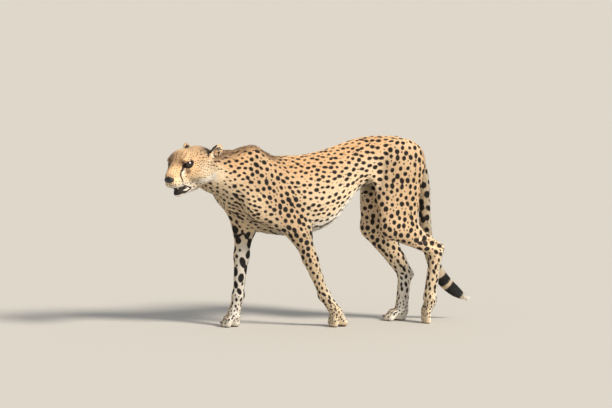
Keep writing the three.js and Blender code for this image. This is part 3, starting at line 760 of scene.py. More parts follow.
def stretches(body: Body) -> list[Stretch]:
    """Every stretch of the body, each from where its hair starts to where it points."""
    on = body.head.on
    made = [
        Stretch("head", on(88, 0, -44), on(30, 0, -14), Growth.MUZZLE, 22),
        *(Stretch("head", on(78, s * 14, -60), on(24, s * 34, -66), Growth.MUZZLE, 24) for s in SIDES),
        Stretch("head", on(20, 0, 0), on(-110, 0, 36), Growth.FACE, 40),
        *(Stretch("head", on(10, s * 40, -34), on(-70, s * 56, -48), Growth.FACE, 34) for s in SIDES),
        *(Stretch("head", on(-62, s * 52, -62), on(-150, s * 62, -84), Growth.RUFF, 36) for s in SIDES),
        Stretch("head", on(46, 0, -112), on(-60, 0, -112), Growth.FACE, 26),
        Stretch("head", on(-110, 50, -10), on(-176, 82, 26), Growth.FACE, 20),
        Stretch("head", on(-110, -50, -10), on(-168, -80, 40), Growth.FACE, 20),
        Stretch("neck", on(-130, 0, 0), vec(-400, -4, 680), Growth.NECK, 60),
        Stretch("neck", on(-90, 0, -90), vec(-385, 0, 520), Growth.CHEST, 60),
        Stretch("trunk", vec(-390, 0, 670), vec(-60, 0, 650), Growth.BACK, 90),
        Stretch("trunk", vec(-60, 0, 650), vec(230, 0, 690), Growth.BACK, 80),
        Stretch("trunk", vec(230, 0, 700), vec(392, 0, 664), Growth.BACK, 70),
        Stretch("trunk", vec(-350, 0, 480), vec(-60, 0, 430), Growth.CHEST, 90),
        Stretch("trunk", vec(-60, 0, 430), vec(210, 0, 590), Growth.CHEST, 80),
    ]
    for leg in FORELEGS:
        blade, elbow, wrist, knuckle, toe = leg.places("blade elbow wrist knuckle toe")
        made += [
            Stretch(leg.region, blade + vec(0, leg.side * 20, -30), elbow, Growth.LIMB, 56),
            Stretch(leg.region, elbow, wrist, Growth.SHIN, 32),
            Stretch(leg.region, wrist, knuckle, Growth.PAW, 24),
            Stretch(leg.region, knuckle, toe, Growth.PAW, 30),
        ]
    for leg in HINDLEGS:
        hip, sit, knee, hock, knuckle, toe = leg.places("hip sit knee hock knuckle toe")
        made += [
            Stretch(leg.region, hip + vec(0, leg.side * 20, 40), knee, Growth.LIMB, 76),
            Stretch(leg.region, sit, knee + vec(60, 0, -10), Growth.LIMB, 56),
            Stretch(leg.region, knee, hock, Growth.SHIN, 36),
            Stretch(leg.region, hock, knuckle, Growth.SHIN, 24),
            Stretch(leg.region, knuckle, toe, Growth.PAW, 30),
        ]
    spots = body.tail.chain()[::3]
    for i, (a, b) in enumerate(zip(spots, spots[1:])):
        made.append(Stretch("tail", a, b, Growth.BRUSH if i >= 7 else Growth.TAIL, 27))
    return made


class Coat:
    """Which way the hair lies, how long it is and which stretch it belongs to."""

    SHARPNESS = 5.0  # how quickly a stretch gives way to the next
    MANE = 5.0  # how much deeper the coat is on the nape and withers, in mm
    FRINGE = 4.0  # how much deeper it is under the belly, in mm

    def __init__(self, body: Body) -> None:
        """Lays out the stretches of a body."""
        self.body = body
        self.parts = stretches(body)

    def weights(self, p: Array) -> Array:
        """How much each stretch governs each point, adding up to one."""
        out = np.empty((len(p), len(self.parts)))
        for i, part in enumerate(self.parts):
            _, away = beside(p, part.start, part.end)
            out[:, i] = (part.girth / np.maximum(away, 1.0)) ** self.SHARPNESS
        return out / out.sum(1, keepdims=True)

    def read(self, weights: Array, what: Callable[[Lock], float]) -> Array:
        """A measure of the coat at each point."""
        return weights @ np.array([what(part.growth.value) for part in self.parts])

    def crest(self, p: Array) -> Array:
        """Where the mane of the nape and withers stands, from 0 to 1."""
        nape = self.body.head.on(-120, 0, 40)
        ridge = np.array([nape, (-440, -6, 706), (-370, 0, 738), (-290, 0, 752), (-215, 0, 715)])
        away = np.minimum.reduce([beside(p, a, b)[1] for a, b in zip(ridge, ridge[1:])])
        return ease(80, 28, away)

    def belly(self, p: Array, weights: Array) -> Array:
        """Where the long pale hair of the belly hangs, from 0 to 1."""
        torso = weights @ np.array([part.region == "trunk" for part in self.parts], float)
        return torso * ease(0.24, 0.02, self.body.trunk.height(p)) * ease(-330, -250, p[:, 0])

    def depth(self, p: Array, weights: Array) -> Array:
        """How far the skin lies under the coat's tips."""
        base = self.read(weights, lambda lock: lock.depth)
        return base + self.MANE * self.crest(p) + self.FRINGE * self.belly(p, weights)

    def lie(self, normals: Array, weights: Array) -> Array:
        """The way the hair points at each place, along the skin."""
        way = weights @ np.array([unit(part.end - part.start) for part in self.parts])
        way = way - normals * (way * normals).sum(1, keepdims=True)
        return unit(way)

    def chart(self, p: Array, weights: Array) -> tuple[Array, Array]:
        """Each point's stretch, and its place round and along it, both from 0 to 1."""
        part = weights.argmax(1)
        place = np.zeros((len(p), 2))
        for i, stretch in enumerate(self.parts):
            mine = part == i
            if not mine.any():
                continue
            axis = stretch.end - stretch.start
            ahead = unit(axis)
            side = unit(np.cross(ahead, vec(0.31, 0.05, 0.95) if abs(ahead[2]) < 0.9 else vec(1, 0.1, 0)))
            q = p[mine] - stretch.start
            angle = np.arctan2(q @ side, q @ np.cross(ahead, side))
            run = (q @ axis) / (axis @ axis)
            place[mine] = np.column_stack([angle / (2 * math.pi) + 0.5, np.clip(run * 0.5 + 0.25, 0, 1)])
        return part, place


# ---------------------------------------------------------------- markings


@dataclass(frozen=True)
class Spacing:
    """How a region's spots are set: how far apart, how large, and how drawn out."""

    apart: float
    size: float  # the radius as a share of the spacing
    stretch: float  # length over width, along the lie of the coat


class SpotScale(Enum):
    """The spots of each region of the body."""

    CROWN = Spacing(7.4, 0.27, 1.8)
    CHEEK = Spacing(8.8, 0.27, 1.2)
    NECK = Spacing(18.0, 0.35, 1.2)
    SHOULDER = Spacing(19.0, 0.37, 1.25)
    BACK = Spacing(18.5, 0.385, 1.35)
    FLANK = Spacing(20.5, 0.395, 1.2)
    HAUNCH = Spacing(22.5, 0.41, 1.15)
    CHEST = Spacing(16.5, 0.40, 1.3)
    LEG = Spacing(22.0, 0.43, 1.2)
    SHIN = Spacing(18.5, 0.40, 1.6)
    PAW = Spacing(11.0, 0.37, 1.6)
    TAIL = Spacing(31.0, 0.42, 0.8)


SPECK_ROOM = 0.56  # a speck's room as a share of a spot's
SPECK_SHARE = 0.8  # how many of the places left between the spots take a speck
SPECK_SIZE = 0.40  # a speck's size as a share of a spot's


@dataclass
class Strewn:
    """Round marks strewn over the skin, each an ellipse in the skin's plane."""

    centres: Array
    normals: Array
    ways: Array
    longs: Array
    shorts: Array

    CELL = 26.0  # points are sorted into cells of this size, in mm
    HEIGHT = 22.0  # how far off the skin's plane a mark reaches, in mm

    def edge(self, p: Array) -> Array:
        """Signed distance of each point to the nearest mark's rim, negative inside."""
        out = np.full(len(p), BEYOND)
        cells = np.floor(p / self.CELL).astype(int)
        table: dict[tuple[int, int, int], Array] = {}
        order = np.lexsort(cells.T)
        breaks = np.flatnonzero(np.any(np.diff(cells[order], axis=0), axis=1)) + 1
        for part in np.split(order, breaks):
            table[tuple(cells[part[0]])] = part
        steps = [(i, j, k) for i in (-1, 0, 1) for j in (-1, 0, 1) for k in (-1, 0, 1)]
        for m in range(len(self.centres)):
            home = np.floor(self.centres[m] / self.CELL).astype(int)
            found = [table[key] for step in steps if (key := tuple(home + step)) in table]
            if not found:
                continue
            near = np.concatenate(found)
            q = p[near] - self.centres[m]
            side = np.cross(self.normals[m], self.ways[m])
            u, v, w = q @ self.ways[m], q @ side, q @ self.normals[m]
            long, short = self.longs[m], self.shorts[m]
            r = np.sqrt((u / long) ** 2 + (v / short) ** 2 + (w / self.HEIGHT) ** 2)
            out[near] = np.minimum(out[near], (r - 1) * short)
        return out


def strew(p: Array, normals: Array, ways: Array, apart: Array, sizes: Array,
          stretch: Array, where: Array, rng: np.random.Generator) -> Strewn:
    """Strews marks over the skin, no two closer than their spacing, with specks between.

    Args:
        p: the skin's points.
        normals: the skin's normals.
        ways: the lie of the coat.
        apart: the spacing wanted at each point.
        sizes: the radius as a share of the spacing.
        stretch: length over width.
        where: the share of marks kept at each point, 0 to 1.
        rng: the draw.

    Returns:
        The marks.
    """
    tree = KDTree(len(p))
    for n, place in enumerate(p):
        tree.insert(place, n)
    tree.balance()
    draws = rng.random(len(p))
    chosen, scale = [], []
    for shrink, quota in ((1.0, 1.0), (SPECK_ROOM, SPECK_SHARE)):
        rooms = apart * shrink
        blocked = draws > where * quota
        widest = float(rooms.max())

        def block(n: int, room: float) -> None:
            """Rules out the places too near a mark that needs some room."""
            found = tree.find_range(p[n], 0.5 * (room + widest))
            near = np.array([index for _, index, _ in found])
            gaps = np.array([gap for _, _, gap in found])
            blocked[near[gaps < 0.5 * (room + rooms[near])]] = True

        for n in chosen:
            block(n, apart[n])
        for n in rng.permutation(len(p)):
            if not blocked[n]:
                block(n, rooms[n])
                chosen.append(n)
                scale.append(1.0 if shrink == 1.0 else SPECK_SIZE)
    at = np.array(chosen)
    radius = apart[at] * sizes[at] * np.array(scale) * rng.uniform(0.78, 1.18, len(at))
    root = np.sqrt(stretch[at] * rng.uniform(0.85, 1.3, len(at)))
    turn = rng.normal(0, 0.4, len(at))[:, None]
    side = np.cross(normals[at], ways[at])
    return Strewn(p[at], normals[at], unit(ways[at] + side * turn), radius * root, radius / root)


@dataclass(frozen=True)
class Stroke:
    """A drawn line: its points and how wide it is at each."""

    points: tuple[tuple[float, ...], ...]
    widths: tuple[float, ...]

    def edge(self, q: Array) -> Array:
        """Signed distance to the line's rim, in as many axes as its points have."""
        best = np.full(len(q), BEYOND)
        pts = np.array(self.points, float)
        for a, b, ra, rb in zip(pts, pts[1:], self.widths, self.widths[1:]):
            t, away = beside(q, a, b)
            best = np.minimum(best, away - (ra + t * (rb - ra)) / 2)
        return best


# The tear line down each side of the muzzle, ahead and above in the head's frame.
TEAR = Stroke(((10, -2), (13, -9), (20, -18), (32, -27), (37, -36), (39, -47), (36, -58), (34, -70)),
              (12.0, 9.0, 6.0, 5.0, 5.5, 7.0, 8.0, 6.0))
# The lips, in the same frame: the upper one's edge to the corner, and the dark lower one.
UPPER_LIP = Stroke(((34, -73), (14, -84), (0, -92), (-13, -101)), (5.0, 4.0, 4.5, 7.0))
LOWER_LIP = Stroke(((49, -104), (32, -105), (12, -110), (-8, -104)), (18.0, 13.0, 9.0, 7.0))
# The dark wing beside the nose, black skin widened with painted shade, and the groove below it.
NOSE_WING_SKIN_AND_SHADE = Stroke(((86, -36), (75, -41), (76, -50)), (12.0, 8.0, 4.0))
GROOVE = Stroke(((86, 0, -54), (78, 0, -64), (68, 0, -78)), (6.0, 4.0, 4.0))
# Brown stripes up the forehead, in the head's frame, the same on both sides.
STRIPES = (
    Stroke(((30, 9, 18), (20, 8, 34), (4, 7, 46)), (4.0, 5.0, 4.0)),
    Stroke(((22, 22, 22), (8, 24, 38), (-12, 24, 50)), (5.0, 5.5, 4.0)),
    Stroke(((10, 38, 28), (-6, 40, 40), (-26, 38, 48)), (5.0, 5.0, 4.0)),
)
# The black front edge of each ear.
EAR_EDGE = Stroke(((-116, 4), (-126, 14), (-140, 25), (-158, 37)), (11.0, 11.0, 8.0, 4.0))
# The pale strip beside the tear line.
STRIP = Stroke(((15, -19), (24, -30), (26, -42)), (8.0, 9.0, 9.0))
# Dark strokes on the left side, by X and Z: painted shade in the skin folds at the front of the chest and of
# the shoulder, and a dark streak down the front of the hind foot.
FOLD_SHADE_AND_STREAKS = (
    Stroke(((-396, 462), (-382, 472), (-358, 461), (-335, 438)), (4, 5, 5, 3)),
    Stroke(((-306, 428), (-293, 431), (-272, 427)), (4, 7, 5)),
    Stroke(((410, 105), (412, 85), (417, 66)), (7, 8, 6)),
)
# Bars across the inside of the right foreleg, by X and Z.
BARS = (
    Stroke(((-354, 358), (-332, 362), (-312, 374)), (16, 14, 8)),
    Stroke(((-312, 376), (-298, 362), (-286, 348)), (7, 9, 7)),
)
# Single blots that are larger than the spots round them: their middles and radii.
BLOTS = (
    ((-364, 52, 433), 13), ((-358, 54, 404), 12), ((-380, -77, 576), 10), ((-373, -68, 538), 10),
    ((-358, -72, 521), 8), ((422, -18, 459), 13), ((426, -20, 410), 13), ((14, -58, 74), 9),
    ((38, -60, 50), 9), ((62, -56, 34), 7), ((-370, 64, 26), 6), ((-352, 62, 38), 6),
)


class Markings:
    """The pattern of the whole animal, worked out at any points of its skin or coat."""

    # The tail's black bands, each from one share of its length to another.
    RINGS = ((0.60, 0.635), (0.70, 0.745), (0.795, 0.848), (0.872, 0.975))
    SCALE = 10.0  # millimetres to a unit of the "mark" attribute

    def __init__(self, body: Body, coat: Coat) -> None:
        """Keeps what the pattern is measured against."""
        self.body, self.coat = body, coat
        self.spots: Strewn | None = None

    def share(self, weights: Array, *regions: str) -> Array:
        """How far each point belongs to some regions."""
        return weights @ np.array([part.region in regions for part in self.coat.parts], float)

    def inner(self, normals: Array, weights: Array) -> Array:
        """How far each point of a leg faces the other side of the body, from 0 to 1."""
        left = self.share(weights, FORE[0], HIND[0])
        right = self.share(weights, FORE[1], HIND[1])
        return left * ease(0.1, 0.75, normals[:, 1]) + right * ease(0.1, 0.75, -normals[:, 1])

    def pale(self, p: Array, normals: Array, weights: Array) -> Array:
        """How white the coat is, from 0 to 1."""
        q = self.body.head.local(p)
        up = self.body.trunk.height(p)
        trunk = self.share(weights, "trunk", "neck")
        fore, hind = self.share(weights, *FORE), self.share(weights, *HIND)
        chest = ease(-120, -260, p[:, 0])
        groin = ease(110, 200, p[:, 0])
        under = (0.95 - 0.85 * chest - 0.65 * groin) * ease(0.30, 0.02, up)
        low = trunk * (under + (0.34 - 0.14 * chest) * ease(0.9, 0.35, up))
        inner = self.inner(normals, weights)
        z = p[:, 2]
        behind = 0.6 * ease(0.2, 0.8, normals[:, 0]) * ease(500, 330, z)
        shins = 0.36 * ease(330, 120, z)
        leg = fore * np.clip(inner * (0.4 + 0.55 * ease(400, 300, z)) + behind + shins, 0, 1)
        leg += hind * np.clip(inner * (0.2 + 0.6 * ease(260, 150, z)) + behind + shins, 0, 1)
        head = self.share(weights, "head")
        cheek = ease(-58, -84, q[:, 2] + 0.10 * (q[:, 0] + 40)) * ease(-175, -125, q[:, 0])
        pads = ease(-64, -74, q[:, 2]) * ease(14, 34, q[:, 0])
        strip = ease(3, -2, STRIP.edge(q[:, [0, 2]])) * (np.abs(q[:, 1]) > 24) * 0.8
        side = 0.42 * ease(-20, -60, q[:, 0]) * ease(10, -30, q[:, 2])
        face = head * np.clip(np.maximum.reduce([cheek, pads, strip, side]), 0, 1)
        end = ease(590, 615, p[:, 0])
        tail = self.share(weights, "tail") * (0.35 + 0.4 * ease(-0.2, 0.7, normals[:, 0]) + 0.6 * end)
        throat = self.share(weights, "neck") * 0.16
        return np.clip(low + leg + face + tail + throat, 0, 1)

    def warm(self, p: Array, weights: Array) -> Array:
        """How orange the coat is, from 0 to 1."""
        up = self.body.trunk.height(p)
        trunk = self.share(weights, "trunk", "neck") * ease(0.45, 0.95, up)
        q = self.body.head.local(p)
        crown = self.share(weights, "head") * ease(-58, -28, q[:, 2])
        legs = self.share(weights, *FORE, *HIND)
        return np.clip(trunk + crown * 0.9 + legs * 0.35 * ease(200, 500, p[:, 2]), 0, 1)

    def smoke(self, p: Array, weights: Array) -> Array:
        """Where the coat is smoky brown or grey, from 0 to 1."""
        q = self.body.head.local(p)
        folded = np.column_stack([q[:, 0], np.abs(q[:, 1]), q[:, 2]])
        brow = ease(26, 10, np.linalg.norm(folded - vec(12, 24, 12), axis=1))
        forehead = ease(52, 26, np.linalg.norm(folded - vec(16, 0, 26), axis=1))
        under = ease(16, 6, np.linalg.norm(folded - vec(10, 50, -26), axis=1))
        bridge = ease(16, 4, np.linalg.norm(q[:, [0, 2]] - vec(76, -30), axis=1)) * 0.5
        stripes = np.maximum.reduce([ease(5, -1, stripe.edge(folded)) for stripe in STRIPES])
        face = np.maximum.reduce([brow * 0.9, under * 0.85, bridge, forehead * 0.5, stripes * 0.8])
        head = self.share(weights, "head") * face
        return np.clip(head + 1.2 * self.coat.crest(p) * (1 - self.share(weights, "head")), 0, 1)

    def bare(self, p: Array, normals: Array) -> Array:
        """Where the skin has no coat: nose, lips, lid rims and soles, from 0 to 1."""
        head = self.body.head
        nose = ease(1.8, 0.4, head.ball(*head.nose, head.nose_radii).distance(p))
        lips = ease(1.6, 0.4, head.mouth().distance(p))
        lids = ease(1.6, 0.6, head.openings(p))
        soles = ease(14, 8, p[:, 2]) * ease(-0.55, -0.85, normals[:, 2])
        return np.clip(np.maximum.reduce([nose, lips, lids, soles]), 0, 1)

    def strew(self, p: Array, normals: Array, ways: Array, weights: Array) -> None:
        """Sets the spots, once, over the whole skin."""
        rng = np.random.default_rng(SEED)
        q = self.body.head.local(p)
        up = self.body.trunk.height(p)
        head, neck, trunk, tail = (self.share(weights, name) for name in ("head", "neck", "trunk", "tail"))
        crown = head * ease(-40, -20, q[:, 2])
        x = p[:, 0]
        kinds = {
            SpotScale.CROWN: crown,
            SpotScale.CHEEK: head - crown,
            SpotScale.NECK: neck,
            SpotScale.TAIL: tail,
            SpotScale.HAUNCH: trunk * ease(150, 260, x),
            SpotScale.CHEST: trunk * ease(-200, -320, x) * ease(0.7, 0.4, up),
            SpotScale.SHOULDER: trunk * ease(-130, -220, x) * ease(0.4, 0.7, up),
        }
        rest = trunk - sum(kinds[kind] for kind in (SpotScale.HAUNCH, SpotScale.CHEST, SpotScale.SHOULDER))
        kinds[SpotScale.BACK] = rest * ease(0.6, 0.9, up)
        kinds[SpotScale.FLANK] = rest - kinds[SpotScale.BACK]
        fore, hind = self.share(weights, *FORE), self.share(weights, *HIND)
        high = ease(360, 440, p[:, 2])
        shin, paw = ease(300, 230, p[:, 2]), ease(110, 70, p[:, 2])
        kinds[SpotScale.PAW] = (fore + hind) * paw
        kinds[SpotScale.SHIN] = (fore + hind) * shin * (1 - paw)
        kinds[SpotScale.HAUNCH] = kinds[SpotScale.HAUNCH] + hind * high * (1 - shin)
        kinds[SpotScale.LEG] = (hind * (1 - high) + fore) * (1 - shin)
        total = sum(kinds.values()) + 1e-6
        apart = sum(w * kind.value.apart for kind, w in kinds.items()) / total
        sizes = sum(w * kind.value.size for kind, w in kinds.items()) / total
        stretch = sum(w * kind.value.stretch for kind, w in kinds.items()) / total
        bold = self.share(weights, FORE[1]) * ease(110, 170, p[:, 2])
        apart = apart * (1 + 0.75 * bold)
        sizes = sizes * (1 + 0.10 * bold)
        inner = self.inner(normals, weights)
        white = ease(0.10, 0.02, up) * trunk
        muzzle = head * ease(-12, 6, q[:, 0])
        throat = neck * ease(-0.5, -0.9, normals[:, 2])
        under = head * ease(-72, -84, q[:, 2])
        ends = tail * ease(0.50, 0.56, self.body.tail.length_at(p) / self.body.tail.length)
        where = np.clip(1 - 0.35 * inner - white - muzzle * 0.9 - throat * 0.5 - under - ends, 0, 1)
        where *= ease(22, 34, p[:, 2]) * (self.bare(p, normals) < 0.2) * (self.hollow(p) < 0.1)
        self.spots = strew(p, normals, ways, apart, sizes, stretch, where, rng)
        LOG.info("%d spots", len(self.spots.centres))

    def marks(self, p: Array, normals: Array, weights: Array) -> Array:
        """Signed distance, in mm, to the rim of the nearest black mark or painted shade, negative inside."""
        head, q = self.body.head, self.body.head.local(p)
        edge = self.spots.edge(p)
        on_head = self.share(weights, "head") > 0.3
        near = on_head & (q[:, 0] > -60)
        flat = q[near][:, [0, 2]]
        aside = np.abs(q[near, 1])
        # A band 7.5 mm wide round each eye's opening is drawn black: the black rims of the lids, and past
        # them painted shade under the brow.
        lids = head.openings(p[near]) - 7.5
        mouth = head.mouth().distance(p[near]) - np.where(q[near, 2] < -91, 7.0, 2.6)
        # The nose wing's stroke is black skin widened with painted shade.
        lines = [np.where(aside > clear, line.edge(flat), BEYOND)
                 for line, clear in ((TEAR, 16), (NOSE_WING_SKIN_AND_SHADE, 10), (UPPER_LIP, 16))]
        lines += [LOWER_LIP.edge(flat), GROOVE.edge(q[near])]
        edge[near] = np.minimum.reduce([edge[near], lids, mouth, *lines])
        ears = on_head & (q[:, 0] < -108) & (np.abs(q[:, 1]) > 48)
        edge[ears] = np.minimum(edge[ears], EAR_EDGE.edge(q[ears][:, [0, 2]]))
        for i in range(2):
            edge = np.minimum(edge, self.ear(p, i))
        for middle, radius in BLOTS:
            edge = np.minimum(edge, np.linalg.norm(p - np.array(middle), axis=1) - radius)
        # The fold strokes paint shade in the skin folds of the chest and shoulder; the last one is a real
        # streak on the hind foot.
        for strokes, where in ((FOLD_SHADE_AND_STREAKS, p[:, 1] < 10), (BARS, (p[:, 1] > 20) & (normals[:, 1] < 0.1))):
            for stroke in strokes:
                edge = np.where(where, np.minimum(edge, stroke.edge(p[:, [0, 2]])), edge)
        on_tail = self.share(weights, "tail") > 0.5
        run = self.body.tail.length_at(p[on_tail]) / self.body.tail.length
        for start, end in self.RINGS:
            ring = np.maximum(start - run, run - end) * self.body.tail.length
            edge[on_tail] = np.minimum(edge[on_tail], ring)
        return np.clip(edge, -BEYOND, BEYOND)

    def ear(self, p: Array, i: int) -> Array:
        """Signed distance to the black wedge on the back of one ear."""
        head = self.body.head
        middle, axes = head.ear_frames[i]
        q = (p - middle) @ axes
        front = q[:, 0] * math.copysign(1, head.axes[:, 0] @ axes[:, 0])
        patch = np.hypot((front - 12) / 0.9, (q[:, 1] + 6) / 1.6) - 13
        back = np.maximum(patch, q[:, 2] + 3)
        return np.where(np.linalg.norm(p - middle, axis=1) < head.EAR_EXTENT, back, BEYOND)

    def hollow(self, p: Array) -> Array:
        """How far each point lies in the white hollow of an ear, from 0 to 1."""
        out = np.zeros(len(p))
        for middle, axes in self.body.head.ear_frames:
            q = (p - middle) @ axes
            r = np.hypot(q[:, 0] / 22, q[:, 1] / 29)
            near = np.linalg.norm(p - middle, axis=1) < self.body.head.EAR_EXTENT
            out = np.maximum(out, near * ease(1.0, 0.75, r) * ease(-2, 3, q[:, 2]))
        return out

    def paint(self, p: Array, normals: Array, weights: Array) -> dict[str, Array]:
        """Every attribute the finishes read, at some points."""
        hollow = self.hollow(p)
        return {
            "mark": self.marks(p, normals, weights) / self.SCALE,
            "pale": np.maximum(self.pale(p, normals, weights), hollow),
            "warm": self.warm(p, weights) * (1 - hollow),
            "smoke": self.smoke(p, weights),
            "bare": self.bare(p, normals),
        }


# ---------------------------------------------------------------- finishes


class Wire:
    """One value in a material's nodes; arithmetic on it adds Math nodes."""

    def __init__(self, nodes: "Nodes", socket: bpy.types.NodeSocket) -> None:
        """Keeps the socket that the value comes from."""
        self.nodes, self.socket = nodes, socket

    def math(self, operation: str, *others: "Wire | float") -> "Wire":
        """A Math node on this value and others."""
        node = self.nodes.make("ShaderNodeMath", {"operation": operation}, self, *others)
        return self.nodes.wire(node)

    def __add__(self, other: "Wire | float") -> "Wire":
        """The sum."""
        return self.math("ADD", other)

    __radd__ = __add__

    def __mul__(self, other: "Wire | float") -> "Wire":
        """The product."""
        return self.math("MULTIPLY", other)

    __rmul__ = __mul__

    def __sub__(self, other: "Wire | float") -> "Wire":
        """The difference."""
        return self.math("SUBTRACT", other)

    def __rsub__(self, other: float) -> "Wire":
        """A number less this value."""
        return self.math("MULTIPLY", -1.0) + other

    def between(self, low: float, high: float) -> "Wire":
        """A smooth step from 0 at `low` to 1 at `high`."""
        settings = {"interpolation_type": "SMOOTHSTEP"}
        return self.nodes.wire(self.nodes.make("ShaderNodeMapRange", settings, self, low, high, 0.0, 1.0))

    def clamp(self) -> "Wire":
        """The value held between 0 and 1."""
        return self.nodes.wire(self.nodes.make("ShaderNodeClamp", {}, self, 0.0, 1.0))


Colour = tuple[float, float, float, float]


def srgb(red: int, green: int, blue: int) -> Colour:
    """A display colour as the linear values that Blender keeps."""
    def channel(c: int) -> float:
        """One channel, by the display curve."""
        x = c / 255
        return x / 12.92 if x <= 0.04045 else ((x + 0.055) / 1.055) ** 2.4
    return (channel(red), channel(green), channel(blue), 1.0)


class Nodes:
    """The nodes of one material."""

    def __init__(self, name: str, **uniform: float) -> None:
        """Starts a material with one Principled shader.

        Args:
            name: the material's name.
            uniform: values that are the same all over, by the shader's socket name.
        """
        self.material = bpy.data.materials.new(name)
        self.material.use_nodes = True
        self.tree = self.material.node_tree
        self.shader = self.tree.nodes["Principled BSDF"]
        for key, value in uniform.items():
            self.shader.inputs[key.replace("_", " ").title()].default_value = value

    def make(self, kind: str, settings: dict, *inputs: "Wire | float | Colour | None",
             **named: "Wire | float | Colour") -> bpy.types.Node:
        """A node of any kind.

        Args:
            kind: the node's type.
            settings: its properties, set first.
            inputs: a value or link for each socket in order, None to leave one.
            named: a value or link by socket name.

        Returns:
            The node.
        """
        node = self.tree.nodes.new(kind)
        for key, value in settings.items():
            setattr(node, key, value)
        for key, value in (*enumerate(inputs), *named.items()):
            if isinstance(value, Wire):
                self.tree.links.new(value.socket, node.inputs[key])
            elif value is not None:
                node.inputs[key].default_value = value
        return node

    def wire(self, node: bpy.types.Node, output: int | str = 0) -> Wire:
        """A node's output as a value."""
        return Wire(self, node.outputs[output])

    def attribute(self, name: str) -> Wire:
        """A number kept on the mesh."""
        return self.wire(self.make("ShaderNodeAttribute", {"attribute_name": name}), "Fac")

    def place(self) -> Wire:
        """The point's place in its object."""
        return self.wire(self.make("ShaderNodeTexCoord", {}), "Object")

    def noise(self, scale: float, detail: float = 2.0, vector: Wire | None = None) -> Wire:
        """Cloudy noise, about 0.5 on average."""
        node = self.make("ShaderNodeTexNoise", {}, vector or self.place(), Scale=scale, Detail=detail)
        return self.wire(node, 0)

    def mix(self, amount: Wire, under: "Wire | Colour", over: "Wire | Colour") -> Wire:
        """One colour over another by an amount."""
        unused = [None] * 5  # the node's sockets for numbers and vectors
        return self.wire(self.make("ShaderNodeMix", {"data_type": "RGBA"}, amount, *unused, under, over), 2)

    def feed(self, **sockets: Wire) -> None:
        """Links values to the shader, by socket name."""
        for key, value in sockets.items():
            self.tree.links.new(value.socket, self.shader.inputs[key.replace("_", " ").title()])

    def bump(self, height: Wire, strength: float, distance: float) -> None:
        """Gives the surface a fine relief."""
        node = self.make("ShaderNodeBump", {}, Strength=strength, Distance=distance, Height=height)
        self.feed(Normal=self.wire(node))


@dataclass(frozen=True)
class FurFinish:
    """The colours of the coat, shared by the skin under it and the tufts."""

    tan: Colour = srgb(247, 220, 181)
    orange: Colour = srgb(238, 197, 147)
    cream: Colour = srgb(249, 231, 200)
    white: Colour = srgb(250, 243, 230)
    brown: Colour = srgb(104, 70, 42)
    black: Colour = srgb(14, 10, 9)
    umber: Colour = srgb(60, 34, 20)
    leather: Colour = srgb(12, 9, 9)

    def colour(self, nodes: Nodes, tip: Wire | float = 0.0) -> Wire:
        """The coat's colour from the markings on the mesh, paler towards the tips."""
        pale, warm = nodes.attribute("pale"), nodes.attribute("warm")
        grain, cloud = nodes.noise(260.0), nodes.noise(14.0, 3.0)
        ground = nodes.mix((warm * (0.6 + cloud * 0.8)).clamp(), self.tan, self.orange)
        ground = nodes.mix((pale * 1.7 + (cloud - 0.5) * 0.3).clamp(), ground, self.cream)
        ground = nodes.mix((pale * 2.0 - 1.0).clamp(), ground, self.white)
        smoke = nodes.attribute("smoke") * (grain * 1.4 + 0.2)
        ground = nodes.mix(smoke.clamp(), ground, self.brown)
        flecks = (grain - 0.5) * 0.22
        ground = nodes.mix((0.08 + flecks - tip * 0.08).clamp(), ground, self.brown)
        edge = nodes.attribute("mark") + (grain - 0.5) * 0.12
        ink = nodes.mix(edge.between(-0.42, -0.06), self.black, self.umber)
        ground = nodes.mix(1 - edge.between(-0.04, 0.06), ground, ink)
        return nodes.mix(nodes.attribute("bare").between(0.4, 0.7), ground, self.leather)

    def skin(self) -> bpy.types.Material:
        """The skin: the coat's colours, a fine lie of hair, and moist leather where it is bare."""
        nodes = Nodes("skin", sheen_weight=0.12, sheen_roughness=0.5)
        bare = nodes.attribute("bare").between(0.4, 0.7)
        nodes.feed(Base_Color=self.colour(nodes), Roughness=0.78 - bare * 0.38)
        comb = nodes.wire(nodes.make("ShaderNodeAttribute", {"attribute_name": "comb"}), "Vector")
        strands = nodes.noise(1.0, 2.0, comb)
        pebbles = nodes.wire(nodes.make("ShaderNodeTexVoronoi", {}, nodes.place(), Scale=900.0), 0)
        nodes.bump(strands * (1 - bare) + pebbles * bare, 0.55, 0.0008)
        return nodes.material

    def coat(self) -> bpy.types.Material:
        """The tufts: the skin's colours, a little lighter towards the tips."""
        nodes = Nodes("coat", sheen_weight=0.05, sheen_roughness=0.4)
        tip = nodes.attribute("tip")
        nodes.feed(Base_Color=self.colour(nodes, tip), Roughness=0.66 + tip * 0.1)
        return nodes.material


@dataclass(frozen=True)
class EyeFinish:
    """An amber iris, darkened as painted shade from the brow, with a round pupil under a wet cornea."""

    pupil: Colour = srgb(8, 6, 5)
    # The iris colours are darkened as painted shade from the brow.
    shaded_amber: Colour = srgb(46, 24, 10)
    shaded_gold: Colour = srgb(78, 44, 18)
    rim: Colour = srgb(24, 14, 9)
    white: Colour = srgb(48, 34, 28)

    def make(self) -> bpy.types.Material:
        """The eyeball's material, by the angle from the gaze kept on the mesh."""
        nodes = Nodes("eyeball", roughness=0.2, coat_weight=0.6, coat_roughness=0.03)
        ring = nodes.attribute("ring")
        fibres = nodes.noise(900.0, 3.0)
        iris = nodes.mix((ring.between(0.24, 0.60) + (fibres - 0.5) * 0.8).clamp(), self.shaded_gold, self.shaded_amber)
        iris = nodes.mix(ring.between(0.60, 0.70), iris, self.rim)
        iris = nodes.mix(ring.between(0.72, 0.78), iris, self.white)
        iris = nodes.mix(1 - ring.between(0.28, 0.31), iris, self.pupil)
        nodes.feed(Base_Color=iris)
        return nodes.material


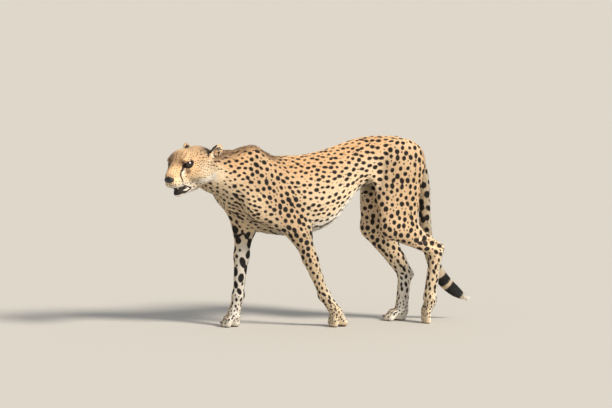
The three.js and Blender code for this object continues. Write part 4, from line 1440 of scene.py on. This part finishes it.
@dataclass(frozen=True)
class HornFinish:
    """Claws, teeth or whiskers: a body colour that fades to another at the tip."""

    name: str
    root: Colour
    tip: Colour
    roughness: float = 0.35

    def make(self) -> bpy.types.Material:
        """The material, by the distance from the root kept on the mesh."""
        nodes = Nodes(self.name, roughness=self.roughness)
        cloud = nodes.noise(400.0, 2.0)
        fade = (nodes.attribute("tip") + (cloud - 0.5) * 0.3).clamp()
        nodes.feed(Base_Color=nodes.mix(fade, self.root, self.tip))
        nodes.bump(cloud, 0.2, 0.0003)
        return nodes.material


@dataclass(frozen=True)
class FloorFinish:
    """A plain pale matt floor."""

    colour: Colour = srgb(196, 191, 182)

    def make(self) -> bpy.types.Material:
        """The floor's material."""
        nodes = Nodes("floor", roughness=0.9)
        nodes.shader.inputs["Base Color"].default_value = self.colour
        return nodes.material


# ---------------------------------------------------------------- meshes


def positions(mesh: bpy.types.Mesh) -> Array:
    """A mesh's points as rows, in metres."""
    co = np.empty(len(mesh.vertices) * 3)
    mesh.vertices.foreach_get("co", co)
    return co.reshape(-1, 3)


def keep_numbers(mesh: bpy.types.Mesh, values: dict[str, Array]) -> None:
    """Keeps one number a point on a mesh under each name."""
    for name, numbers in values.items():
        mesh.attributes.new(name, "FLOAT", "POINT").data.foreach_set("value", np.asarray(numbers, np.float32))


def meshed(name: str, bm: bmesh.types.BMesh) -> bpy.types.Mesh:
    """A new mesh from a bmesh, which is freed."""
    mesh = bpy.data.meshes.new(name)
    bm.to_mesh(mesh)
    bm.free()
    return mesh


def linked(name: str, data: bpy.types.ID) -> bpy.types.Object:
    """A new object in the scene."""
    thing = bpy.data.objects.new(name, data)
    bpy.context.scene.collection.objects.link(thing)
    return thing


def show(name: str, mesh: bpy.types.Mesh, material: bpy.types.Material) -> bpy.types.Object:
    """Adds a finished mesh to the scene as a piece that rides on the body.

    Args:
        name: the piece's name.
        mesh: its mesh, in place.
        material: its finish.

    Returns:
        The object.
    """
    mesh.name = name
    mesh.materials.append(material)
    mesh.polygons.foreach_set("use_smooth", np.ones(len(mesh.polygons), bool))
    piece = linked(name, mesh)
    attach(piece, "root")
    LOG.info("%s: %d faces", name, len(mesh.polygons))
    return piece


@dataclass
class Place:
    """How the animal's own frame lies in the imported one."""

    shift: Array  # metres

    @classmethod
    def found(cls, head: Head) -> "Place":
        """Reads the shift off the left eye's solid."""
        low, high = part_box("eye_left")
        middle = (np.array(low) + np.array(high)) / 2
        return cls(middle - head.on(head.eye.ahead, head.eye.aside, head.eye.above) * MM)

    def out(self, p: Array) -> Array:
        """Millimetres in the animal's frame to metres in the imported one."""
        return p * MM + self.shift

    def back(self, co: Array) -> Array:
        """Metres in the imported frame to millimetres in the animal's."""
        return (co - self.shift) / MM


@dataclass
class Skin:
    """The one skin over the whole body."""

    body: Body
    coat: Coat
    place: Place
    marks: Markings
    voxel: float = 0.0062
    swell: float = 0.0008  # closes the cuts between the solids before they are fused

    FLESH = ("head", "lower_jaw", "nose", "ear_left", "ear_right", "neck", "trunk",
             "tail_base", "tail_middle", "tail_tip",
             *(part + side for side in ("_left", "_right")
               for part in ("shoulder", "foreleg", "thigh", "shank", "forepaw", "hindfoot")))
    FLOOR = 0.3  # the lowest that a point of the skin may lie, in mm

    def fused(self) -> bmesh.types.BMesh:
        """The solids of flesh grown together into one closed mesh."""
        everything = bmesh.new()
        for name in self.FLESH:
            one = bmesh.new()
            one.from_mesh(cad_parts[name].data)
            bmesh.ops.remove_doubles(one, verts=one.verts, dist=1e-5)
            one.normal_update()
            for vert in one.verts:
                vert.co += vert.normal * self.swell
            scrap = meshed("scrap", one)
            everything.from_mesh(scrap)
            bpy.data.meshes.remove(scrap)
        rough = meshed("rough", everything)
        holder = linked("rough", rough)
        remesh = holder.modifiers.new("fuse", "REMESH")
        remesh.mode = "VOXEL"
        remesh.voxel_size = self.voxel
        graph = bpy.context.evaluated_depsgraph_get()
        fused = bmesh.new()
        fused.from_mesh(holder.evaluated_get(graph).to_mesh())
        bpy.data.objects.remove(holder)
        bpy.data.meshes.remove(rough)
        return fused

    def settle(self, bm: bmesh.types.BMesh, passes: int, smooth: float = 0.0) -> None:
        """Eases a mesh and draws its points onto the skin."""
        if smooth:
            bmesh.ops.smooth_vert(bm, verts=bm.verts, factor=smooth, use_axis_x=True, use_axis_y=True,
                                  use_axis_z=True)
        p = self.place.back(np.array([vert.co for vert in bm.verts]))
        depth = self.coat.depth(p, self.coat.weights(p))
        p = self.body.settle(p, depth, passes)
        p[:, 2] = np.maximum(p[:, 2], self.FLOOR)
        for vert, co in zip(bm.verts, self.place.out(p)):
            vert.co = co

    def refine(self, bm: bmesh.types.BMesh, where: Callable[[Array], Array]) -> None:
        """Halves the edges whose two ends both lie in a region."""
        p = self.place.back(np.array([vert.co for vert in bm.verts]))
        inside = where(p)
        bm.verts.index_update()
        edges = [edge for edge in bm.edges if inside[edge.verts[0].index] and inside[edge.verts[1].index]]
        bmesh.ops.subdivide_edges(bm, edges=edges, cuts=1, use_grid_fill=True)

    def wide_region(self, p: Array) -> Array:
        """The head and the four paws."""
        q = self.body.head.local(p)
        head = (np.linalg.norm(q - vec(-30, 0, -40), axis=1) < 135) | (np.abs(self.ear_gap(p)) < 8)
        paws = (p[:, 2] < 46) | ((p[:, 2] < 96) & (p[:, 0] > 400) & (p[:, 0] < 470) & (p[:, 1] < 0))
        return head | (paws & (self.tail_gap(p) > 20))

    def fine_region(self, p: Array) -> Array:
        """The eyes, the nose, the lips and the ears' rims."""
        head = self.body.head
        q = head.local(p)
        eyes = np.minimum.reduce([np.linalg.norm(p - head.eye_frames[s][0], axis=1) for s in SIDES]) < 31
        nose = np.linalg.norm(q - np.array(head.nose), axis=1) < 27
        lips = head.mouth().distance(p) < 8
        return eyes | nose | lips | (self.ear_gap(p) < 2)

    def ear_gap(self, p: Array) -> Array:
        """How far each point lies outside the nearer ear."""
        head = self.body.head
        return np.minimum.reduce([Ball(m, head.ear_size, axes).distance(p) for m, axes in head.ear_frames])

    def tail_gap(self, p: Array) -> Array:
        """How far each point lies from the tail's line."""
        spots = self.body.tail.chain()
        return np.minimum.reduce([np.linalg.norm(p - spot, axis=1) for spot in spots]) - 20

    def build(self) -> None:
        """Makes, paints and shows the skin."""
        bm = self.fused()
        self.settle(bm, 2)
        self.settle(bm, 1, 0.5)
        self.refine(bm, self.wide_region)
        self.settle(bm, 1, 0.3)
        self.refine(bm, self.fine_region)
        self.settle(bm, 2)
        self.settle(bm, 2, 0.15)
        bmesh.ops.triangulate(bm, faces=bm.faces, quad_method="SHORT_EDGE")
        bmesh.ops.recalc_face_normals(bm, faces=bm.faces)
        mesh = meshed("skin", bm)
        self.read(mesh)
        keep_numbers(mesh, self.paint)
        comb = np.column_stack([self.comb[:, 0] * 420, self.comb[:, 1] * 60, self.p[:, 2] * 0.02])
        mesh.attributes.new("comb", "FLOAT_VECTOR", "POINT").data.foreach_set(
            "vector", comb.astype(np.float32).ravel())
        piece = show("skin", mesh, FurFinish().skin())
        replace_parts(piece, *self.FLESH)

    def read(self, mesh: bpy.types.Mesh) -> None:
        """Keeps the skin's points, normals, lie, growth and markings."""
        self.mesh = mesh
        self.p = self.place.back(positions(mesh))
        normals = np.empty(len(mesh.vertices) * 3)
        mesh.vertex_normals.foreach_get("vector", normals)
        self.normals = normals.reshape(-1, 3)
        self.weights = self.coat.weights(self.p)
        self.lie = self.coat.lie(self.normals, self.weights)
        self.marks.strew(self.p, self.normals, self.lie, self.weights)
        self.paint = self.marks.paint(self.p, self.normals, self.weights)
        part, place = self.coat.chart(self.p, self.weights)
        self.comb = np.column_stack([place[:, 0] + part, place[:, 1] * 6])


@dataclass
class Tufts:
    """The coat: thin closed tufts that lie along the skin, in a few joined pieces."""

    skin: Skin
    thin: float = 0.42  # a tuft's thickness as a share of its width
    sink: float = 0.5  # how far a root lies under the skin, in mm
    clear: float = 2.0  # how far above the floor the lowest roots are, in mm
    patch: float = 0.003  # how wide a tuft's patch is on the bake map

    REGIONS = ("head", "neck", "trunk_left", "trunk_right", "foreleg_left", "foreleg_right",
               "hindleg_left", "hindleg_right", "tail")
    CHART_COLUMNS = 4
    MOST = 48500  # tufts in one piece
    # The four points of a tuft: three round its root, and the tip; then its faces.
    ACROSS = np.array([0.5, -0.5, 0.0, 0.0])
    UP = np.array([0.0, 0.0, 1.0, 0.0])
    RUN = np.array([0, 0, 0, 1])
    FACES = np.array([(0, 1, 2), (0, 3, 1), (0, 2, 3), (1, 3, 2)])

    def roots(self, rng: np.random.Generator) -> tuple[Array, Array]:
        """Draws the triangles that tufts grow from, and where in each."""
        skin = self.skin
        mesh = skin.mesh
        mesh.calc_loop_triangles()
        tris = np.empty(len(mesh.loop_triangles) * 3, np.int32)
        mesh.loop_triangles.foreach_get("vertices", tris)
        tris = tris.reshape(-1, 3)
        a, b, c = (skin.p[tris[:, i]] for i in range(3))
        areas = np.linalg.norm(np.cross(b - a, c - a), axis=1) / 2
        read = skin.coat.read
        density = read(skin.weights, lambda lock: lock.cover / (lock.length * lock.width * 0.5))
        density *= skin.paint["bare"] < 0.35
        density *= (skin.body.head.mouth().distance(skin.p) > 1.5) & (skin.p[:, 2] > self.clear)
        wanted = areas * density[tris].mean(1)
        region = self.region(skin.p, skin.weights)[tris[:, 0]]
        for i in range(len(self.REGIONS)):
            wanted[region == i] *= min(1.0, self.MOST / max(wanted[region == i].sum(), 1.0))
        count = np.floor(wanted + rng.random(len(wanted))).astype(int)
        chosen = np.repeat(np.arange(len(tris)), count)
        share = rng.dirichlet((1, 1, 1), len(chosen))
        return tris[chosen], share

    def region(self, p: Array, weights: Array) -> Array:
        """Which piece of the coat each point belongs to."""
        names = ["trunk_left" if part.region == "trunk" else part.region for part in self.skin.coat.parts]
        found = np.array([self.REGIONS.index(name) for name in names])[weights.argmax(1)]
        left, right = self.REGIONS.index("trunk_left"), self.REGIONS.index("trunk_right")
        return np.where((found == left) & (p[:, 1] > 0), right, found)

    def grow(self) -> dict[str, Array]:
        """Works out every tuft: its points, its numbers, its piece and its place on the chart."""
        skin, coat = self.skin, self.skin.coat
        rng = np.random.default_rng(SEED + 1)
        tris, share = self.roots(rng)

        def at(values: Array) -> Array:
            """Values at the roots, from those at the skin's points."""
            return np.einsum("nk,nk...->n...", share, values[tris])

        root, normal, lie = at(skin.p), unit(at(skin.normals)), at(skin.lie)
        weights = at(skin.weights)
        turn = rng.normal(0, 0.13, len(root))[:, None]
        side = unit(np.cross(normal, lie))
        lie = unit(lie - normal * (lie * normal).sum(1, keepdims=True) + side * turn)
        side = np.cross(normal, lie)
        crest, belly = coat.crest(root), coat.belly(root, weights)
        scruff = rng.uniform(0.75, 1.2, len(root)) * (1 + 0.9 * crest + 0.7 * belly)
        length = coat.read(weights, lambda lock: lock.length) * scruff
        width = coat.read(weights, lambda lock: lock.width) * rng.uniform(0.8, 1.2, len(root))
        depth = coat.depth(root, weights)
        rise = depth * (0.3 + 0.7 * rng.random(len(root)) ** 2)
        tip = root + lie * length[:, None]
        tip -= normal * np.clip(skin.body.distance(tip) + depth - rise, -6, 9)[:, None]
        tip[:, 2] = np.maximum(tip[:, 2], self.clear / 2)
        spine = np.stack([root - normal * self.sink, tip], 1)
        thick = (width * self.thin)[:, None]
        points = (spine[:, self.RUN] + side[:, None] * (self.ACROSS * width[:, None])[..., None]
                  + normal[:, None] * (self.UP * thick)[..., None])
        numbers = {}
        for reach in (0.3, 0.9):
            for key, values in skin.marks.paint(root + (tip - root) * reach, normal, weights).items():
                numbers.setdefault(key, []).append(values)
        numbers = {key: np.stack(values, 1)[:, self.RUN] for key, values in numbers.items()}
        numbers["mark"] = numbers["mark"] + rng.normal(0, 0.02, len(root))[:, None]
        numbers["smoke"] = numbers["smoke"] * rng.uniform(0.2, 1.5, len(root))[:, None]
        numbers["tip"] = np.tile(self.RUN.astype(float), (len(root), 1))
        part, chart = coat.chart(root, weights)
        return {"points": points, "regions": self.region(root, weights), "part": part, "chart": chart,
                **numbers}

    def patches(self, part: Array, chart: Array) -> Array:
        """Each tuft's corner of the bake map: its stretch's cell, and its root's place in it."""
        names = np.unique(part)
        order = np.searchsorted(names, part)
        rows = math.ceil(len(names) / self.CHART_COLUMNS)
        cell = np.column_stack([order % self.CHART_COLUMNS, order // self.CHART_COLUMNS])
        size = np.array([1 / self.CHART_COLUMNS, 1 / rows])
        return (cell + 0.03 + chart * 0.94) * size

    def build(self) -> None:
        """Makes and shows the coat's pieces."""
        made = self.grow()
        finish = FurFinish().coat()
        for region, name in enumerate(self.REGIONS):
            mine = np.flatnonzero(made["regions"] == region)
            points = self.skin.place.out(made["points"][mine].reshape(-1, 3))
            faces = (np.arange(len(mine))[:, None, None] * len(self.RUN) + self.FACES).reshape(-1, 3)
            mesh = bpy.data.meshes.new("coat_" + name)
            mesh.vertices.add(len(points))
            mesh.vertices.foreach_set("co", points.astype(np.float32).ravel())
            mesh.loops.add(faces.size)
            mesh.loops.foreach_set("vertex_index", faces.astype(np.int32).ravel())
            mesh.polygons.add(len(faces))
            mesh.polygons.foreach_set("loop_start", np.arange(0, faces.size, 3, dtype=np.int32))
            mesh.update(calc_edges=True)
            keep_numbers(mesh, {key: made[key][mine].ravel()
                                for key in ("mark", "pale", "warm", "smoke", "bare", "tip")})
            corner = self.patches(made["part"][mine], made["chart"][mine])
            spread = np.column_stack([self.ACROSS, self.RUN - 0.5 - 0.25 * self.UP]) * self.patch
            uv = (corner[:, None] + spread)[:, self.FACES].reshape(-1, 2)
            mesh.uv_layers.new(name="OFBake").data.foreach_set("uv", uv.astype(np.float32).ravel())
            show("coat_" + name, mesh, finish)


@dataclass
class Eyes:
    """Both eyeballs, each with the swell of its cornea."""

    head: Head
    place: Place
    swell: float = 1.0  # how far the cornea stands off the ball, in mm
    deep: float = 2.4  # how much smaller the ball is than its solid, to lie deep in the lids

    def build(self) -> None:
        """Makes and shows the eyeballs."""
        finish = EyeFinish().make()
        for side, name in zip(SIDES, ("eye_left", "eye_right")):
            centre, axes = self.head.eye_frames[side]
            look = unit(self.head.axes @ (np.array(self.head.eye.look) * vec(1, side, 1)))
            across = unit(np.cross(axes[:, 1], look))
            axes = np.column_stack([across, np.cross(look, across), look])
            bm = bmesh.new()
            radius = self.head.eye.radius - self.deep
            bmesh.ops.create_uvsphere(bm, u_segments=48, v_segments=32, radius=radius)
            rings = []
            for vert in bm.verts:
                angle = Vector((0, 0, 1)).angle(vert.co)
                rings.append(angle)
                vert.co *= 1 + self.swell / radius * float(ease(0.75, 0.15, np.array(angle)))
            world = Matrix(axes.tolist()).to_4x4()
            world.translation = Vector(centre)
            bmesh.ops.transform(bm, matrix=world, verts=bm.verts)
            for vert in bm.verts:
                vert.co = self.place.out(np.array(vert.co))
            bmesh.ops.recalc_face_normals(bm, faces=bm.faces)
            mesh = meshed(name, bm)
            keep_numbers(mesh, {"ring": np.array(rings)})
            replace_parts(show(name + "_ball", mesh, finish), name)


@dataclass
class Horns:
    """Claws, teeth and whiskers: round-sectioned cones bent along an arc."""

    body: Body
    place: Place
    sections: int = 6
    steps: int = 5

    def cone(self, bm: bmesh.types.BMesh, tips: list[float], root: Array, way: Array, down: Array,
             length: float, radius: float, bend: float) -> None:
        """Adds one bent cone to a mesh.

        Args:
            bm: the mesh.
            tips: the list that takes each new point's share of the length.
            root: where it starts.
            way: where it first points.
            down: the way that it bends.
            length: its length in mm.
            radius: its radius at the root in mm.
            bend: how far it bends, in radians.
        """
        side = unit(np.cross(way, down))
        made = bmesh.ops.create_circle(bm, cap_ends=True, segments=self.sections, radius=radius)["verts"]
        base = Matrix(np.column_stack([side, np.cross(way, side), way]).tolist()).to_4x4()
        base.translation = Vector(root)
        bmesh.ops.transform(bm, matrix=base, verts=made)
        tips.extend([0.0] * len(made))
        ring = [edge for edge in bm.edges if edge.verts[0] in made and edge.verts[1] in made]
        place = np.array(root, float)
        for i in range(self.steps):
            angle = bend * (i + 0.5) / self.steps
            step = (way * math.cos(angle) + down * math.sin(angle)) * length / self.steps
            grown = bmesh.ops.extrude_edge_only(bm, edges=ring)["geom"]
            verts = [g for g in grown if isinstance(g, bmesh.types.BMVert)]
            ring = [g for g in grown if isinstance(g, bmesh.types.BMEdge)]
            bmesh.ops.translate(bm, verts=verts, vec=step)
            place = place + step
            left = max(1 - ((i + 1) / self.steps) ** 1.5, 0.04)
            was = max(1 - (i / self.steps) ** 1.5, 0.04)
            bmesh.ops.scale(bm, verts=verts, vec=(left / was,) * 3,
                            space=Matrix.Translation(-Vector(place)))
            tips.extend([(i + 1) / self.steps] * len(verts))
        bmesh.ops.contextual_create(bm, geom=ring)

    def finish(self, name: str, bm: bmesh.types.BMesh, tips: list[float], look: HornFinish,
               slot: str) -> None:
        """Moves a mesh of cones into place and shows it."""
        for vert in bm.verts:
            vert.co = self.place.out(np.array(vert.co))
        bmesh.ops.recalc_face_normals(bm, faces=bm.faces)
        mesh = meshed(name, bm)
        keep_numbers(mesh, {"tip": np.array(tips)})
        show(name, mesh, look.make())

    def claws(self) -> None:
        """A blunt claw on every toe, and a dewclaw inside each foreleg."""
        bm, tips = bmesh.new(), []
        for leg in (*FORELEGS, *HINDLEGS):
            ahead, sole = leg.paw_frame()
            for _, _, tip in leg.toes():
                root = tip - sole * 6 + vec(0, 0, 2.5) + vec(ahead[0], 0, 0) * 6
                way = unit(vec(ahead[0], 0, 0) + vec(0, 0, 0.25))
                self.cone(bm, tips, root, way, vec(0, 0, -1), 13, 2.9, 0.9)
        for leg in FORELEGS:
            root = leg.at("wrist") + vec(6, -leg.side * 19, -26)
            self.cone(bm, tips, root, unit(vec(0, -leg.side * 0.35, -0.95)), vec(-1, 0, 0), 12, 2.8, 0.9)
        look = HornFinish("claw", srgb(70, 52, 44), srgb(30, 24, 22))
        self.finish("claws", bm, tips, look, "coat_dark")

    def teeth(self) -> None:
        """The canines and incisors that the open mouth shows."""
        on, (ahead, _, up) = self.body.head.on, self.body.head.axes.T
        bm, tips = bmesh.new(), []
        for side in SIDES:
            self.cone(bm, tips, on(52, side * 15, -80), -up, -ahead, 11, 2.6, 0.4)
            self.cone(bm, tips, on(42, side * 12, -103), up, -ahead, 10, 2.4, 0.5)
            for i in range(3):
                self.cone(bm, tips, on(60 - i * 1.2, side * (2 + 3.6 * i), -80), -up, up, 4.5, 1.6, 0.0)
                self.cone(bm, tips, on(50 - i * 1.2, side * (1.6 + 3 * i), -102), up, up, 4.5, 1.5, 0.0)
        look = HornFinish("tooth", srgb(226, 208, 170), srgb(244, 238, 224), 0.25)
        self.finish("teeth", bm, tips, look, "coat_pale")

    def whiskers(self) -> None:
        """A few rows of fine white whiskers on each pad of the muzzle."""
        on, axes = self.body.head.on, self.body.head.axes
        rng = np.random.default_rng(SEED + 2)
        bm, tips = bmesh.new(), []
        for side in SIDES:
            for row in range(3):
                for i in range(4):
                    root = on(60 - i * 9 + rng.uniform(-2, 2), side * 26, -56 - row * 6)
                    root = self.body.settle(root[None], 1.6, 3)[0]
                    way = unit(axes @ vec(-0.5 - 0.1 * i, side * 0.8, -0.35 + rng.uniform(-0.1, 0.1)))
                    self.cone(bm, tips, root, way, -axes[:, 0], rng.uniform(26, 42), 0.3, 0.8)
        look = HornFinish("whisker", srgb(236, 230, 220), srgb(248, 246, 240))
        self.finish("whiskers", bm, tips, look, "coat_pale")


# ---------------------------------------------------------------- stage


@dataclass
class Studio:
    """The floor, the lights and the camera."""

    place: Place
    azimuth: float = -18.0
    elevation: float = 6.0
    away: float = 30.0
    span: float = 2.448  # metres across the view at the animal
    sensor: float = 36.0
    clip: float = 400.0
    right: float = -0.056  # of the view's middle from the animal's own origin
    up: float = 0.484
    floor_radius: float = 90.0
    sun_from: Triple = (0.60, -0.82, 0.80)
    sun_energy: float = 4.4
    sun_width: float = 14.0  # degrees
    sun_colour: Triple = (1.0, 0.94, 0.85)
    sky: Colour = (0.92, 0.95, 1.0, 1.0)
    sky_strength: float = 0.50

    def axes(self) -> tuple[Vector, Vector, Vector]:
        """The camera's right, up and backward directions."""
        a, e = math.radians(self.azimuth), math.radians(self.elevation)
        back = Vector((math.sin(a) * math.cos(e), -math.cos(a) * math.cos(e), math.sin(e)))
        right = Vector((math.cos(a), math.sin(a), 0))
        return right, back.cross(right), back

    def camera(self) -> None:
        """Sets a long lens low on the animal's left side."""
        right, up, back = self.axes()
        data = bpy.data.cameras.new("camera")
        data.sensor_width = self.sensor
        data.lens = self.sensor * self.away / self.span
        data.clip_end = self.clip
        eye = linked("camera", data)
        eye.location = Vector(self.place.shift) + right * self.right + up * self.up + back * self.away
        eye.rotation_euler = back.to_track_quat("Z", "Y").to_euler()
        bpy.context.scene.camera = eye

    def floor(self) -> None:
        """Lays a plain round floor."""
        bm = bmesh.new()
        bmesh.ops.create_circle(bm, cap_ends=True, segments=64, radius=self.floor_radius)
        mesh = meshed("floor", bm)
        mesh.materials.append(FloorFinish().make())
        ground = linked("floor", mesh)

    def lights(self) -> None:
        """A broad soft key from behind the animal's left shoulder, under a pale sky."""
        data = bpy.data.lights.new("key", "SUN")
        data.energy = self.sun_energy
        data.angle = math.radians(self.sun_width)
        data.color = self.sun_colour
        key = linked("key", data)
        key.rotation_euler = Vector(self.sun_from).to_track_quat("Z", "Y").to_euler()
        world = bpy.data.worlds.new("sky")
        world.use_nodes = True
        sky = world.node_tree.nodes["Background"]
        sky.inputs["Color"].default_value = self.sky
        sky.inputs["Strength"].default_value = self.sky_strength
        bpy.context.scene.world = world
        bpy.context.scene.view_settings.view_transform = "Standard"

    def build(self) -> None:
        """Sets up the whole stage."""
        self.camera()
        self.floor()
        self.lights()


def main() -> None:
    """Builds the animal and its stage."""
    logging.basicConfig(level=logging.INFO, format="%(message)s")
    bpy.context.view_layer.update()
    body = Body()
    coat = Coat(body)
    place = Place.found(body.head)
    Studio(place).build()
    skin = Skin(body, coat, place, Markings(body, coat))
    skin.build()
    Tufts(skin).build()
    Eyes(body.head, place).build()
    horns = Horns(body, place)
    horns.claws()
    horns.teeth()
    horns.whiskers()


if __name__ == "__main__":
    main()
